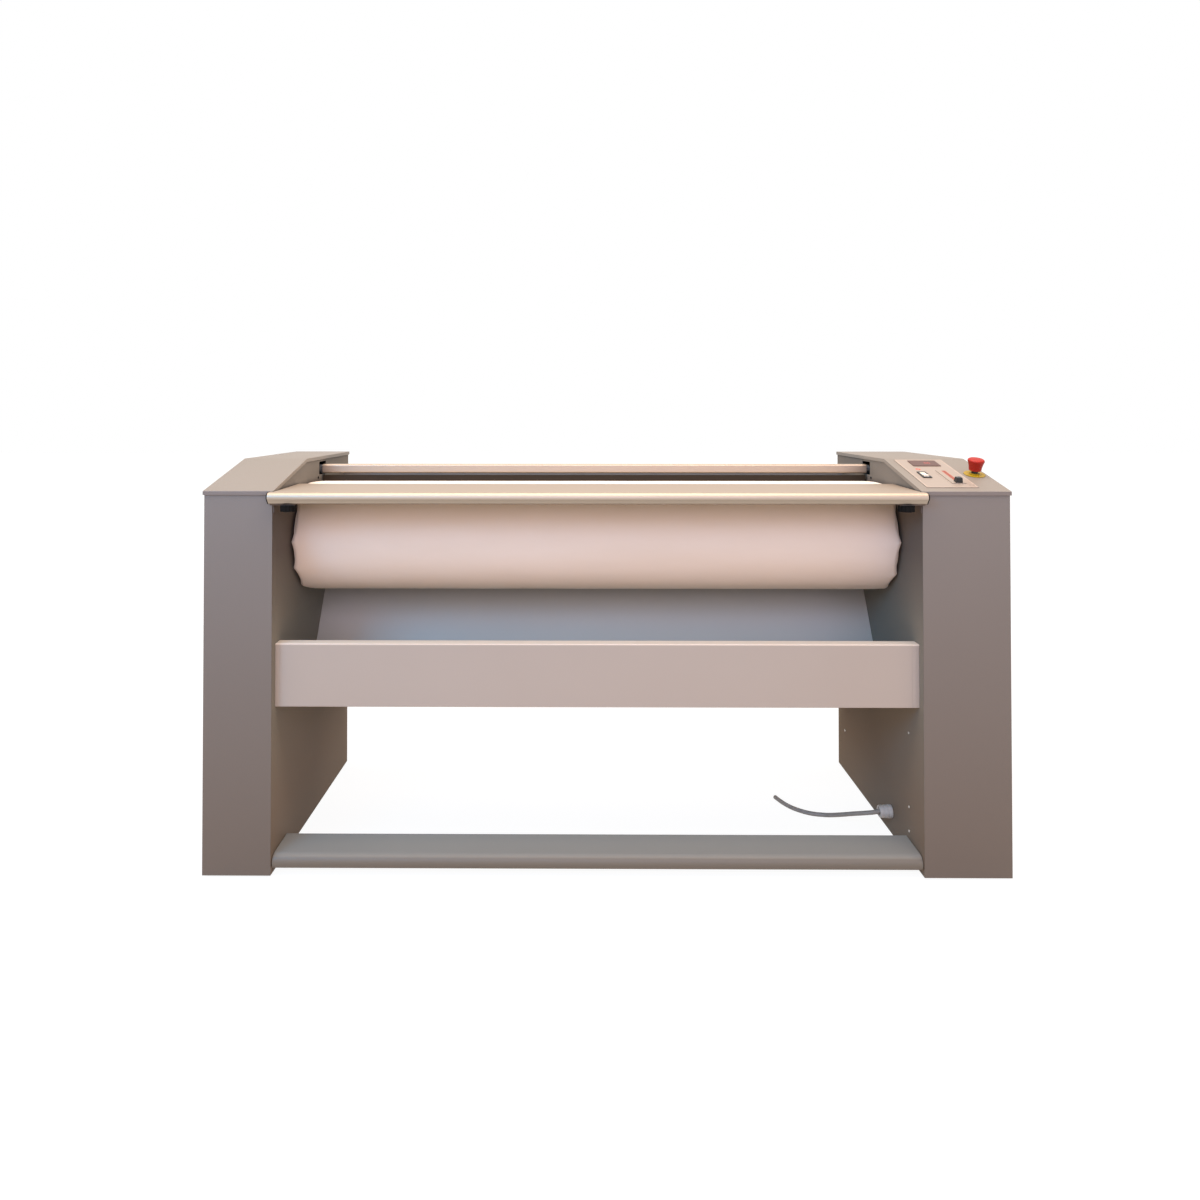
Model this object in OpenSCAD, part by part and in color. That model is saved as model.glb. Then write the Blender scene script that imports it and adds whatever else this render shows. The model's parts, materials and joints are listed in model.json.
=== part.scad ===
// Flatwork ironer: a padded roll between two housings, a heated chest that swings shut behind it,
// a feed table in front, a chute and tray below and a foot bar at the floor.
// X runs along the roll, Y from the front to the back, Z up from the floor.

/* [Overall] */
// Width over the outer faces of the two housings
overall_w = 2000; // [1800:10:2400]
// Depth of a housing from front to back
housing_d = 650; // [630:5:720]
// Width of the left housing
left_w = 170; // [150:1:240]
// Width of the right housing, which also holds the drive
right_w = 216; // [212:1:260]
// Height of the lids at their front edge
work_h = 957; // [930:1:1020]
// Rise of the lids from the front edge to the flat
lid_rise = 66; // [50:1:90]
// Depth of the lids' slope
lid_slope_d = 244; // [236:1:300]

/* [Housings] */
// Thickness of the housings' sheet steel
sheet = 1.5; // [1:0.1:2.5]
// Height of a lid's turned-down lip
lid_lip = 10; // [8:1:20]
// Overhang of a lid past the walls
lid_over = 3; // [2:0.1:5]
// Gap between the housings and the floor
floor_gap = 6; // [6:0.5:14]
// Diameter of a levelling foot's pad
foot_pad_dia = 50; // [36:1:60]

/* [Roll] */
// Outer diameter of the dressed roll
roll_dia = 300; // [260:1:306]
// Gap between a roll end and the inner wall
roll_end_gap = 9; // [6:0.5:20]
// Thickness of the cotton cover
cover_t = 2; // [1:0.1:3]
// Thickness of the padding under the cover
padding_t = 14; // [8:0.5:18]
// Wall of the steel drum
drum_wall = 5; // [3:0.5:8]
// Diameter of the roll's shaft ends
shaft_dia = 50; // [40:1:56]
// Height of the lids' front edge over the roll's axis
roll_drop = 148; // [145:1:165]
// Depth of the roll's axis behind the housings' front
roll_d = 266; // [262:1:280]

/* [Chest] */
// Gap between the closed chest and the roll
chest_gap = 3; // [2:0.5:5]
// Thickness of the heated shoe
shoe_t = 7; // [5:0.5:10]
// Thickness of the insulation behind the shoe
insulation_t = 28; // [15:1:30]
// Angle that the chest swings open
open_angle = 3; // [2:0.1:3.2]
// Height of the roll's axis over the chest's pivot
pivot_drop = 359; // [340:1:380]

/* [Guard and table] */
// Depth of the guard bar, front to back
guard_d = 34; // [28:1:38]
// Height of the guard bar
guard_h = 26; // [22:1:28]
// Reach of the feed table's nose in front of the housings
nose_reach = 33; // [20:1:50]
// Height of the table's nose
nose_h = 29; // [26:1:32]
// Thickness of the table's rear edge
table_rear_t = 19; // [12:1:21]
// Diameter of a table knob
table_knob_dia = 39; // [30:1:46]

/* [Tray and foot bar] */
// Height of the tray beam's lower edge over the floor
beam_z = 413; // [380:1:420]
// Height of the tray beam
beam_h = 158; // [120:1:160]
// Depth of the tray beam's flanges
beam_flange = 32; // [24:1:44]
// Setback of the tray beam behind the housings' front
beam_back = 24; // [12:1:40]
// Depth of the foot bar's top
foot_bar_d = 102; // [90:1:120]
// Height of the foot bar's top
foot_bar_top = 55; // [50:1:62]

/* [Drive] */
// Diameter of the roll pulley
roll_pulley_dia = 196; // [160:1:210]
// Diameter of the motor pulley
motor_pulley_dia = 70; // [60:1:90]
// Width of the belt
belt_w = 16; // [10:1:18]

/* [Controls] */
// Width of the control plate
plate_w = 130; // [120:1:134]
// Length of the control plate along the slope
plate_len = 218; // [214:1:228]
// Travel of the slide regulator
slider_travel = 82; // [30:1:83]
// Diameter of the emergency stop's yellow disc
estop_disc_dia = 52; // [48:1:62]
// Diameter of the emergency stop's head
estop_head_dia = 41; // [34:1:46]
// Push of the emergency stop
estop_push = 5; // [3:0.5:6]

/* [Supply lead] */
// Diameter of the supply lead
lead_dia = 11.5; // [10:0.5:11.5]

/* [Hidden] */
$fn = 64;

// Gap between pieces that are seated on each other
seam = 0.3;
// Gap of a shaft in its bore
fit_gap = 0.05;
// Overrun of a cut past the face that it opens
over = 1;

// The housings' front plane, which centres the whole object on Y
front_y = (nose_reach - housing_d - lid_over) / 2;
lid_angle = atan(lid_rise / lid_slope_d);
top_h = work_h + lid_rise;
left_x = -overall_w / 2 + left_w;
right_x = overall_w / 2 - right_w;

roll_z = work_h - roll_drop;
roll_r = roll_dia / 2;
roll_len = right_x - left_x - 2 * roll_end_gap;

function fy(d) = front_y + d;
function at(d, z) = [fy(d), z];
function wall_x(side) = side < 0 ? left_x : right_x;
function housing_w(side) = side < 0 ? left_w : right_w;
// X of a place that lies o outwards from the inner face of a housing
function out_x(side, o) = wall_x(side) + side * o;
// Height of the lids' upper face at a depth
function lid_z(d) = work_h + lid_rise * min(d / lid_slope_d, 1);
// A point on a circle round the roll's axis, with the angle counted from the top to the rear
function round_roll(r, a) = at(roll_d + r * sin(a), roll_z + r * cos(a));
function arc(r, a0, a1, n) = [for (i = [0:n]) round_roll(r, a0 + (a1 - a0) * i / n)];

// A profile in depth and height, drawn out along X between two places
module slab(x0, x1) {
    translate([min(x0, x1), 0, 0]) rotate([90, 0, 90]) linear_extrude(abs(x1 - x0)) children();
}
module rod(x0, x1, d, z, r) {
    translate([min(x0, x1), fy(d), z]) rotate([0, 90, 0]) cylinder(r = r, h = abs(x1 - x0));
}
module block(x0, x1, d0, d1, z0, z1) {
    translate([min(x0, x1), fy(d0), z0]) cube([abs(x1 - x0), d1 - d0, z1 - z0]);
}
// A rectangle in a profile
module pane(d0, d1, z0, z1) {
    translate(at(d0, z0)) square([d1 - d0, z1 - z0]);
}
module dot(d, z, r) {
    translate(at(d, z)) circle(r);
}
// A rectangle with round corners, made of straight strips and discs
module soft_pane(d0, d1, z0, z1, r) {
    pane(d0 + r, d1 - r, z0, z1);
    pane(d0, d1, z0 + r, z1 - r);
    for (d = [d0 + r, d1 - r], z = [z0 + r, z1 - r]) dot(d, z, r);
}

// Housings

wall_t = 2;
under_lid = sheet + seam;

// Side outline of a housing, under its lid
module side_profile(d0, d1, z0) {
    polygon([at(d0, z0), at(d1, z0), at(d1, top_h - under_lid),
        at(lid_slope_d, top_h - under_lid), at(d0, lid_z(d0) - under_lid)]);
}

// The guard bar's front lies behind the roll's axis, and its underside over the axis
guard_behind = 113;
guard_rise = 163;
guard_front = roll_d + guard_behind;
guard_z = roll_z + guard_rise;
// Room round the bar's ends in the wall slots
slot_room_front = 22;
slot_room_back = 7;
slot_room_low = 3;
slot_room_high = 9;
slot_corner_r = 3;
guard_screw_ahead = 32;
guard_screw_drop = 10.5;
guard_screw_d = guard_front - guard_screw_ahead;
guard_screw_z = guard_z - guard_screw_drop;

shaft_hole_room = 6;
shaft_hole_r = shaft_dia / 2 + shaft_hole_room;
screw_r = 2.5;
screw_head_r = 3.6;
screw_head_t = 2.2;
screw_len = 6;

// Screws on the right inner wall: depth and height
screw_front_d = 90;
screw_rear_in = 67;
screw_low_z = 74;
screw_mid_z = 136;
screw_under_beam = 87;
right_screws = [
    [screw_front_d, beam_z - screw_under_beam], [screw_front_d, screw_mid_z], [screw_front_d, screw_low_z],
    [housing_d - screw_rear_in, screw_mid_z], [housing_d - screw_rear_in, beam_z - screw_under_beam]
];
lead_d = 210;
lead_z = 65;
gland_r = 12;

// The chest's pivot lies a little behind the roll's axis
pivot_behind = 20;
pivot_d = roll_d + pivot_behind;
pivot_z = roll_z - pivot_drop;
chest_r = roll_r + chest_gap;
casing_t = 1.5;
casing_r = chest_r + shoe_t + insulation_t + 2 * seam + casing_t;
stub_out = 30;
stub_drop = 10;
stub_d = roll_d + chest_r + stub_out;
stub_z = roll_z - stub_drop;
stub_r = 20;
// The wall slots take the chest's stubs through their swing
stub_room = 5;
stub_swing = (roll_z - pivot_z) * sin(open_angle) + stub_room;

// Two square tubes tie the frames together: front, width, underside and height
tube_w = 40;
tube_h = 60;
lower_tube_d = 345;
lower_tube_drop = 83;
lower_tube_z = beam_z - lower_tube_drop;
rear_tube_in = 50;
rear_tube_d = housing_d - rear_tube_in - tube_w;
rear_tube_rise = 107;
rear_tube_z = beam_z + rear_tube_rise;
tube_wall = 3;
tube_hole_gap = 1;

// The foot bar's pin
foot_pin_d = 80;
foot_pin_drop = 27;
foot_pin_z = foot_bar_top - foot_pin_drop;
foot_pin_r = 6;
bush_r = 10;

module tube_pane(d, z, grow) { pane(d - grow, d + tube_w + grow, z - grow, z + tube_h + grow); }
module wall_holes(side) {
    dot(roll_d, roll_z, shaft_hole_r);
    soft_pane(guard_front - slot_room_front, guard_front + guard_d + slot_room_back,
        guard_z - slot_room_low, guard_z + guard_h + slot_room_high, slot_corner_r);
    soft_pane(stub_d - stub_r - over, stub_d + stub_r + stub_swing,
        stub_z - stub_r - stub_swing, stub_z + stub_r + stub_swing / 2, stub_r);
    tube_pane(lower_tube_d, lower_tube_z, tube_hole_gap);
    tube_pane(rear_tube_d, rear_tube_z, tube_hole_gap);
    dot(foot_pin_d, foot_pin_z, bush_r);
    dot(guard_screw_d, guard_screw_z, screw_r);
    if (side > 0) {
        for (s = right_screws) dot(s[0], s[1], screw_r);
        dot(lead_d, lead_z, gland_r);
    }
}
module inner_wall(side) {
    color("#9b8f88") slab(out_x(side, 0), out_x(side, wall_t)) difference() {
        side_profile(sheet + seam, housing_d - sheet - seam, floor_gap);
        wall_holes(side);
    }
}
module left_inner_wall() { inner_wall(-1); }
module right_inner_wall() { inner_wall(1); }

// The outer cover is one sheet, folded into the front and the outer side
module outer_cover(side) {
    outer = housing_w(side);
    color("#8d8787") {
        slab(out_x(side, outer - sheet), out_x(side, outer)) side_profile(0, housing_d, floor_gap);
        slab(out_x(side, 0), out_x(side, outer - sheet)) pane(0, sheet, floor_gap, lid_z(0) - under_lid);
    }
}
module left_outer_cover() { outer_cover(-1); }
module right_outer_cover() { outer_cover(1); }

rear_screw_inset = 14;
module housing_rear_panels() {
    color("#8d8787") for (side = [-1, 1]) difference() {
        slab(out_x(side, 0), out_x(side, housing_w(side) - sheet - seam))
            pane(housing_d - sheet, housing_d, floor_gap, top_h - under_lid);
        for (z = [foot_bar_top, beam_z, roll_z])
            for (o = [rear_screw_inset, housing_w(side) - 2 * rear_screw_inset])
                translate([out_x(side, o), fy(housing_d - sheet - over), z]) rotate([-90, 0, 0])
                    cylinder(r = screw_r, h = sheet + 2 * over);
    }
}

module lid_outline(drop, skin) {
    front = skin - lid_over;
    back = housing_d + lid_over - skin;
    polygon([at(front, lid_z(-lid_over) - drop), at(front, lid_z(front) - skin),
        at(lid_slope_d, top_h - skin), at(back, top_h - skin), at(back, top_h - drop),
        at(lid_slope_d, top_h - drop)]);
}
module lid(side) {
    outer = housing_w(side) + lid_over;
    difference() {
        slab(out_x(side, -lid_over), out_x(side, outer)) lid_outline(lid_lip, 0);
        slab(out_x(side, sheet - lid_over), out_x(side, outer - sheet)) lid_outline(lid_lip + over, sheet);
    }
}
module left_top_cover() { color("#c8b8a9") lid(-1); }
module right_top_cover() {
    color("#c8b8a9") difference() {
        lid(1);
        rocker_hole();
        slider_hole();
        on_estop() translate([0, 0, -lid_lip]) cylinder(r = estop_neck_r + seam, h = lid_lip + over);
    }
}

// Frames: a plate with rails beside the inner wall, welded to a base plate
frame_o = 28;
frame_t = 8;
frame_inset = 20;
rail = 60;
base_t = 8;
base_rise = 2;
base_z = floor_gap + base_rise;
base_margin = 6;
pillar_half = 71;
rear_post_in = 18;
rear_post_w = 32;
rear_post_d = housing_d - rear_post_in - rear_post_w;
guard_pivot_behind = 141;
guard_pivot_drop = 42;
guard_plate_h = 100;
guard_pivot_d = guard_front + guard_pivot_behind;
guard_pivot_z = guard_z - guard_pivot_drop;
guard_pin_r = 5;
pivot_pin_r = 12;
bearing_bolt_r = 5.5;
bearing_bolt_pitch = 84;
frame_hole_room = 8;

module bearing_bolts() {
    for (sy = [-1, 1], sz = [-1, 1])
        dot(roll_d + sy * bearing_bolt_pitch / 2, roll_z + sz * bearing_bolt_pitch / 2, bearing_bolt_r);
}
module frame_plate(side) {
    back = rear_post_d + rear_post_w;
    front = roll_d - pillar_half;
    slab(out_x(side, frame_o), out_x(side, frame_o + frame_t)) difference() {
        union() {
            pane(frame_inset, back, base_z, base_z + rail);
            pane(front, roll_d + pillar_half, base_z, roll_z + rail);
            pane(rear_post_d, back, base_z, guard_pivot_z + rail / 2);
            pane(front, back, lower_tube_z - rail / 2, lower_tube_z + tube_h + rail / 2);
            pane(roll_d, back, rear_tube_z - rail / 2, rear_tube_z + tube_h);
            pane(guard_pivot_d - rail / 2, back, guard_pivot_z - guard_plate_h, guard_pivot_z + rail / 2);
        }
        dot(roll_d, roll_z, shaft_dia / 2 + frame_hole_room);
        dot(pivot_d, pivot_z, pivot_pin_r);
        dot(guard_pivot_d, guard_pivot_z, guard_pin_r);
        bearing_bolts();
    }
}
foot_inset = 42;
foot_stem_r = 6;
foot_pad_t = 3.5;
foot_nut_r = 11;
foot_nut_t = 8;
foot_stem_len = 40;
foot_nut_room = 4;
foot_in = frame_o + frame_t + foot_nut_r + foot_nut_room;
// The four feet of each housing
module at_feet() {
    for (side = [-1, 1], d = [foot_inset, housing_d - foot_inset])
        for (o = [foot_in, housing_w(side) - foot_inset]) translate([out_x(side, o), fy(d), 0]) children();
}
module frame(side) {
    color("#5c5f63") difference() {
        union() {
            frame_plate(side);
            block(out_x(side, base_margin), out_x(side, housing_w(side) - base_margin),
                frame_inset / 2, housing_d - frame_inset / 2, base_z, base_z + base_t);
        }
        at_feet() cylinder(r = foot_stem_r + fit_gap, h = base_z + base_t + over);
    }
}
module left_frame() { frame(-1); }
module right_frame() { frame(1); }
module levelling_feet() {
    color("#3a3a3c") at_feet() {
        cylinder(r1 = foot_pad_dia / 2, r2 = foot_pad_dia / 2 - foot_pad_t / 2, h = foot_pad_t);
        cylinder(r = foot_stem_r, h = foot_stem_len);
        translate([0, 0, base_z + base_t + seam]) cylinder(r = foot_nut_r, h = foot_nut_t, $fn = 6);
    }
}

module cross_tube(d, z) {
    slab(out_x(-1, frame_o - seam), out_x(1, frame_o - seam)) difference() {
        tube_pane(d, z, 0);
        tube_pane(d, z, -tube_wall);
    }
}
module cross_beams() {
    color("#5c5f63") {
        cross_tube(lower_tube_d, lower_tube_z);
        cross_tube(rear_tube_d, rear_tube_z);
    }
}

rear_cover_low = 208;
rear_cover_rise = 150;
rear_cover_flange = 22;
module rear_cover() {
    d = rear_tube_d + tube_w + seam;
    top = roll_z + rear_cover_rise;
    color("#8d8787") slab(left_x + seam, right_x - seam) {
        pane(d, d + sheet, rear_cover_low, top);
        pane(d, d + rear_cover_flange, top - sheet, top);
        pane(d, d + rear_cover_flange, rear_cover_low, rear_cover_low + sheet);
    }
}

// Roll

drum_r = roll_r - cover_t - padding_t - 2 * seam;
cover_round = 24;
cover_turn = 34;
cover_turn_r = drum_r - cover_turn;
end_inset = 30;
end_plate_t = 10;
shaft_flange_r = 62;
shaft_flange_t = 14;
drum_x0 = left_x + roll_end_gap + cover_t + padding_t / 2;
drum_x1 = right_x - roll_end_gap - cover_t - padding_t / 2;

// A ring about the roll's axis
module ring(x0, x1, r_in, r_out) {
    slab(x0, x1) difference() { dot(roll_d, roll_z, r_out); dot(roll_d, roll_z, r_in); }
}
// Half outline of a tube with soft ends, turned about the roll's axis
module soft_tube_half(len, r_out, round_r, r_in, skin) {
    difference() {
        union() {
            translate([r_in, 0]) square([r_out - r_in - round_r, len]);
            translate([r_in, round_r]) square([r_out - r_in, len - 2 * round_r]);
            for (z = [round_r, len - round_r]) translate([r_out - round_r, z]) circle(round_r);
        }
        translate([0, -over]) square([r_in, len + 2 * over]);
        if (skin > 0) {
            translate([r_in - over, skin]) square([r_out - r_in - round_r + over, len - 2 * skin]);
            translate([r_in - over, round_r]) square([r_out - r_in - skin + over, len - 2 * round_r]);
            for (z = [round_r, len - round_r]) translate([r_out - round_r, z]) circle(round_r - skin);
        }
    }
}
module on_roll_axis(x) {
    translate([x, fy(roll_d), roll_z]) rotate([0, 90, 0]) children();
}
module roll_drum() { color("#7f8285") ring(drum_x0, drum_x1, drum_r - drum_wall, drum_r); }
module roll_end_plates() {
    color("#6c6f72") {
        for (x = [drum_x0 + end_inset, drum_x1 - end_inset - end_plate_t])
            ring(x, x + end_plate_t, shaft_dia / 2 + seam, drum_r - drum_wall - seam);
    }
}
bearing_o = frame_o + frame_t + seam;
bearing_len = 34;
pulley_o = 84;
pulley_rims = 8;
pulley_len = belt_w + pulley_rims;
shaft_over = 4;
journal_over = 6;
journal_out = bearing_o + bearing_len + journal_over;
module roll_shafts() {
    color("#b9bcc0") {
        left_face = drum_x0 + end_inset;
        right_face = drum_x1 - end_inset;
        right_end = out_x(1, pulley_o + pulley_len + shaft_over);
        rod(out_x(-1, journal_out), left_face + end_plate_t, roll_d, roll_z, shaft_dia / 2);
        rod(left_face - seam - shaft_flange_t, left_face - seam, roll_d, roll_z, shaft_flange_r);
        rod(right_face - end_plate_t, right_end, roll_d, roll_z, shaft_dia / 2);
        rod(right_face + seam, right_face + seam + shaft_flange_t, roll_d, roll_z, shaft_flange_r);
    }
}
module roll_padding() {
    len = roll_len - 2 * cover_t - 2 * seam;
    color("#e9e2d6") on_roll_axis(left_x + roll_end_gap + cover_t + seam) rotate_extrude()
        soft_tube_half(len, roll_r - cover_t - seam, cover_round - cover_t - seam, drum_r + seam, 0);
}
module roll_cover() {
    color("#e6d9c9") on_roll_axis(left_x + roll_end_gap) rotate_extrude()
        soft_tube_half(roll_len, roll_r, cover_round, drum_r + seam, cover_t);
    color("#e6d9c9") {
        ring(left_x + roll_end_gap, left_x + roll_end_gap + cover_t, cover_turn_r, drum_r + seam);
        ring(right_x - roll_end_gap - cover_t, right_x - roll_end_gap, cover_turn_r, drum_r + seam);
    }
}
bearing_r = 52;
bearing_plate = 112;
bearing_plate_t = 12;
module roll_bearings() {
    color("#4d5f6e") for (side = [-1, 1]) difference() {
        union() {
            slab(out_x(side, bearing_o), out_x(side, bearing_o + bearing_plate_t))
                pane(roll_d - bearing_plate / 2, roll_d + bearing_plate / 2,
                    roll_z - bearing_plate / 2, roll_z + bearing_plate / 2);
            rod(out_x(side, bearing_o), out_x(side, bearing_o + bearing_len), roll_d, roll_z, bearing_r);
        }
        rod(out_x(side, bearing_o - over), out_x(side, bearing_o + bearing_len + over), roll_d, roll_z,
            shaft_dia / 2 + fit_gap);
        slab(out_x(side, bearing_o - over), out_x(side, bearing_o + bearing_plate_t + over))
            bearing_bolts();
    }
}

// Drive

motor_behind = 134;
motor_d = roll_d + motor_behind;
motor_z = 250;
motor_shaft_r = 12;
belt_t = 5;
pulley_rim = 3;
gearbox_side = 110;
gearbox_w = 76;
gearbox_o = 118;
motor_can_r = 37;
motor_can_len = 160;
bracket_t = 6;
bracket_w = 150;
bracket_foot = 60;
bracket_hole_room = 3;
module grooved_pulley(d, z, r, bore) {
    x0 = out_x(1, pulley_o);
    x1 = x0 + pulley_len;
    rim_w = pulley_rims / 2 - seam;
    difference() {
        union() {
            rod(x0, x1, d, z, r);
            rod(x0, x0 + rim_w, d, z, r + pulley_rim);
            rod(x1 - rim_w, x1, d, z, r + pulley_rim);
        }
        rod(x0 - over, x1 + over, d, z, bore);
    }
}
module roll_pulley() {
    color("#76797c") grooved_pulley(roll_d, roll_z, roll_pulley_dia / 2, shaft_dia / 2 + fit_gap);
}
module motor_pulley() {
    color("#76797c") grooved_pulley(motor_d, motor_z, motor_pulley_dia / 2, motor_shaft_r + fit_gap);
}
module belt_loop(grow) {
    hull() {
        dot(roll_d, roll_z, roll_pulley_dia / 2 + grow, $fn = 128);
        dot(motor_d, motor_z, motor_pulley_dia / 2 + grow, $fn = 128);
    }
}
module drive_belt() {
    belt_o = pulley_o + pulley_rims / 2;
    color("#2a2a2b") slab(out_x(1, belt_o), out_x(1, belt_o + belt_w)) difference() {
        belt_loop(seam + belt_t);
        belt_loop(seam);
    }
}
module gear_motor() {
    color("#5b6770") {
        block(out_x(1, gearbox_o), out_x(1, gearbox_o + gearbox_w), motor_d - gearbox_side / 2,
            motor_d + gearbox_side / 2, motor_z - gearbox_side / 2, motor_z + gearbox_side / 2);
        rod(out_x(1, pulley_o), out_x(1, gearbox_o + over), motor_d, motor_z, motor_shaft_r);
        translate([out_x(1, gearbox_o + gearbox_w / 2), fy(motor_d + gearbox_side / 2 - over), motor_z])
            rotate([-90, 0, 0]) cylinder(r = motor_can_r, h = motor_can_len);
    }
}
module motor_bracket() {
    o = gearbox_o - seam - bracket_t;
    z0 = base_z + base_t + seam;
    front = motor_d - bracket_w / 2;
    color("#5c5f63") difference() {
        union() {
            block(out_x(1, o), out_x(1, o + bracket_t), front, front + bracket_w, z0,
                motor_z + gearbox_side / 2);
            block(out_x(1, o), out_x(1, o + bracket_foot), front, front + bracket_w, z0, z0 + bracket_t);
        }
        rod(out_x(1, o - over), out_x(1, o + bracket_t + over), motor_d, motor_z,
            motor_shaft_r + bracket_hole_room);
    }
}

// Chest: drawn shut round the roll, then swung open to its place of rest

module opened() {
    translate([0, fy(pivot_d), pivot_z]) rotate([-open_angle, 0, 0])
        translate([0, -fy(pivot_d), -pivot_z]) children();
}
shoe_a0 = 38;
shoe_a1 = 155;
// Angles by which the end plates and the wool stop short of the shoe's edges
end_short = 4;
wool_short = 5;
chest_end_gap = 5;
chest_x0 = left_x + chest_end_gap;
chest_x1 = right_x - chest_end_gap;
chest_end_t = 6;
arc_steps = 36;
// Angles at which the round back of the casing starts and ends
casing_a0 = 66;
casing_a1 = 153;

module sector(r_in, r_out, a0, a1) {
    polygon(concat(arc(r_in, a0, a1, arc_steps), arc(r_out, a1, a0, arc_steps)));
}
module heated_chest() {
    back_r = chest_r + shoe_t + insulation_t + seam;
    color("#b4b6b8") opened() {
        slab(chest_x0, chest_x1) sector(chest_r, chest_r + shoe_t, shoe_a0, shoe_a1);
        for (x = [chest_x0, chest_x1 - chest_end_t])
            slab(x, x + chest_end_t) sector(chest_r, back_r, shoe_a0 + end_short, shoe_a1 - end_short / 2);
    }
}
heater_angles = [56, 76, 96, 116, 136];
heater_r = 5;
heater_inset = 40;
module heating_elements() {
    color("#6b4b3a") opened() for (a = heater_angles) {
        p = round_roll(chest_r + shoe_t + seam + heater_r, a);
        translate([chest_x0 + heater_inset, p[0], p[1]]) rotate([0, 90, 0])
            cylinder(r = heater_r, h = chest_x1 - chest_x0 - 2 * heater_inset, $fn = 24);
    }
}
module chest_insulation() {
    r_in = chest_r + shoe_t + seam;
    end = chest_end_t + seam;
    color("#d8c98a") opened() slab(chest_x0 + end, chest_x1 - end) difference() {
        sector(r_in, r_in + insulation_t, shoe_a0 + wool_short, shoe_a1 - wool_short / 2);
        for (a = heater_angles) translate(round_roll(r_in + heater_r, a)) circle(heater_r + seam);
        for (a = heater_angles) translate(round_roll(r_in, a)) rotate(-a)
            square(2 * heater_r + 2 * seam, center = true);
    }
}
// The casing starts ahead of the guard bar, just under it, and its top falls to the rear
casing_ahead = 28;
casing_under = 0.5;
casing_front = guard_front - casing_ahead;
casing_top = guard_z - casing_under;
casing_lip = 24;
casing_run = 68;
casing_fall = 17;
module casing_profile() {
    back = casing_front + casing_run;
    low = casing_top - casing_fall;
    polygon(concat(
        [at(casing_front, casing_top - casing_lip), at(casing_front, casing_top), at(back, low)],
        arc(casing_r, casing_a0, casing_a1, arc_steps),
        arc(casing_r - casing_t, casing_a1, casing_a0, arc_steps),
        [at(back - casing_t, low - casing_t), at(casing_front + casing_t, casing_top - casing_t),
            at(casing_front + casing_t, casing_top - casing_lip)]));
}
module chest_casing() {
    color("#211d1a") opened() slab(chest_x0, chest_x1) casing_profile();
}

arm_o = 5;
arm_t = 10;
arm_w = 46;
rod_o = 21;
rod_r = 5;
rod_pin_rise = 190;
arm_pin_r = 6;
// A web of an arm between two round ends, each a depth and a height
module arm_web(a, r_a, b, r_b) {
    hull() {
        dot(a[0], a[1], r_a);
        dot(b[0], b[1], r_b);
    }
}
module arm(side) {
    color("#5c5f63") opened() {
        slab(out_x(side, arm_o), out_x(side, arm_o + arm_t)) difference() {
            union() {
                arm_web([pivot_d, pivot_z], arm_w / 2, [stub_d, stub_z], arm_w / 2);
                arm_web([pivot_d, pivot_z], arm_w / 2, [pivot_d, pivot_z + rod_pin_rise], arm_w / 3);
                arm_web([pivot_d, pivot_z + rod_pin_rise], arm_w / 3, [stub_d, stub_z], arm_w / 2);
            }
            dot(pivot_d, pivot_z, pivot_pin_r + fit_gap);
        }
        rod(out_x(side, arm_o), out_x(side, -chest_end_gap + seam), stub_d, stub_z, stub_r);
        rod(out_x(side, arm_o + arm_t), out_x(side, rod_o + rod_r), pivot_d,
            pivot_z + rod_pin_rise, arm_pin_r);
    }
}
module left_chest_arm() { arm(-1); }
module right_chest_arm() { arm(1); }

module pivot_pins() {
    color("#a9adb1") for (side = [-1, 1]) {
        inner = out_x(side, wall_t + seam);
        outer = out_x(side, frame_o + frame_t + seam);
        rod(inner, outer, pivot_d, pivot_z, pivot_pin_r);
        rod(inner, outer, guard_pivot_d, guard_pivot_z, guard_pin_r);
    }
}

// Place of the rod's pin with the chest open
rod_d = pivot_d + rod_pin_rise * sin(open_angle);
rod_z = pivot_z + rod_pin_rise * cos(open_angle);
eye_r = 13;
eye_t = 8;
eye_play = 2;
actuator_behind = 150;
actuator_front = rod_d + actuator_behind;
actuator_r = 14;
rod_tail = 70;
module closing_rod(side) {
    color("#b9bcc0") difference() {
        union() {
            translate([out_x(side, rod_o), fy(rod_d), rod_z]) rotate([-90, 0, 0])
                cylinder(r = rod_r, h = actuator_front + rod_tail - rod_d);
            rod(out_x(side, rod_o - eye_t / 2), out_x(side, rod_o + eye_t / 2), rod_d, rod_z, eye_r);
        }
        for (k = [-1, 0, 1])
            rod(out_x(side, rod_o - eye_t), out_x(side, rod_o + eye_t), rod_d, rod_z + k * eye_play / 2,
                arm_pin_r + seam);
    }
}
module left_closing_rod() { closing_rod(-1); }
module right_closing_rod() { closing_rod(1); }
module closing_actuators() {
    color("#3f4449") for (side = [-1, 1]) difference() {
        translate([out_x(side, rod_o), fy(actuator_front), rod_z]) rotate([-90, 0, 0])
            cylinder(r = actuator_r, h = rear_post_d - seam - actuator_front);
        translate([out_x(side, rod_o), fy(actuator_front - over), rod_z]) rotate([-90, 0, 0])
            cylinder(r = rod_r + fit_gap, h = rod_tail + 3 * over);
    }
}

// Finger guard

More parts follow.
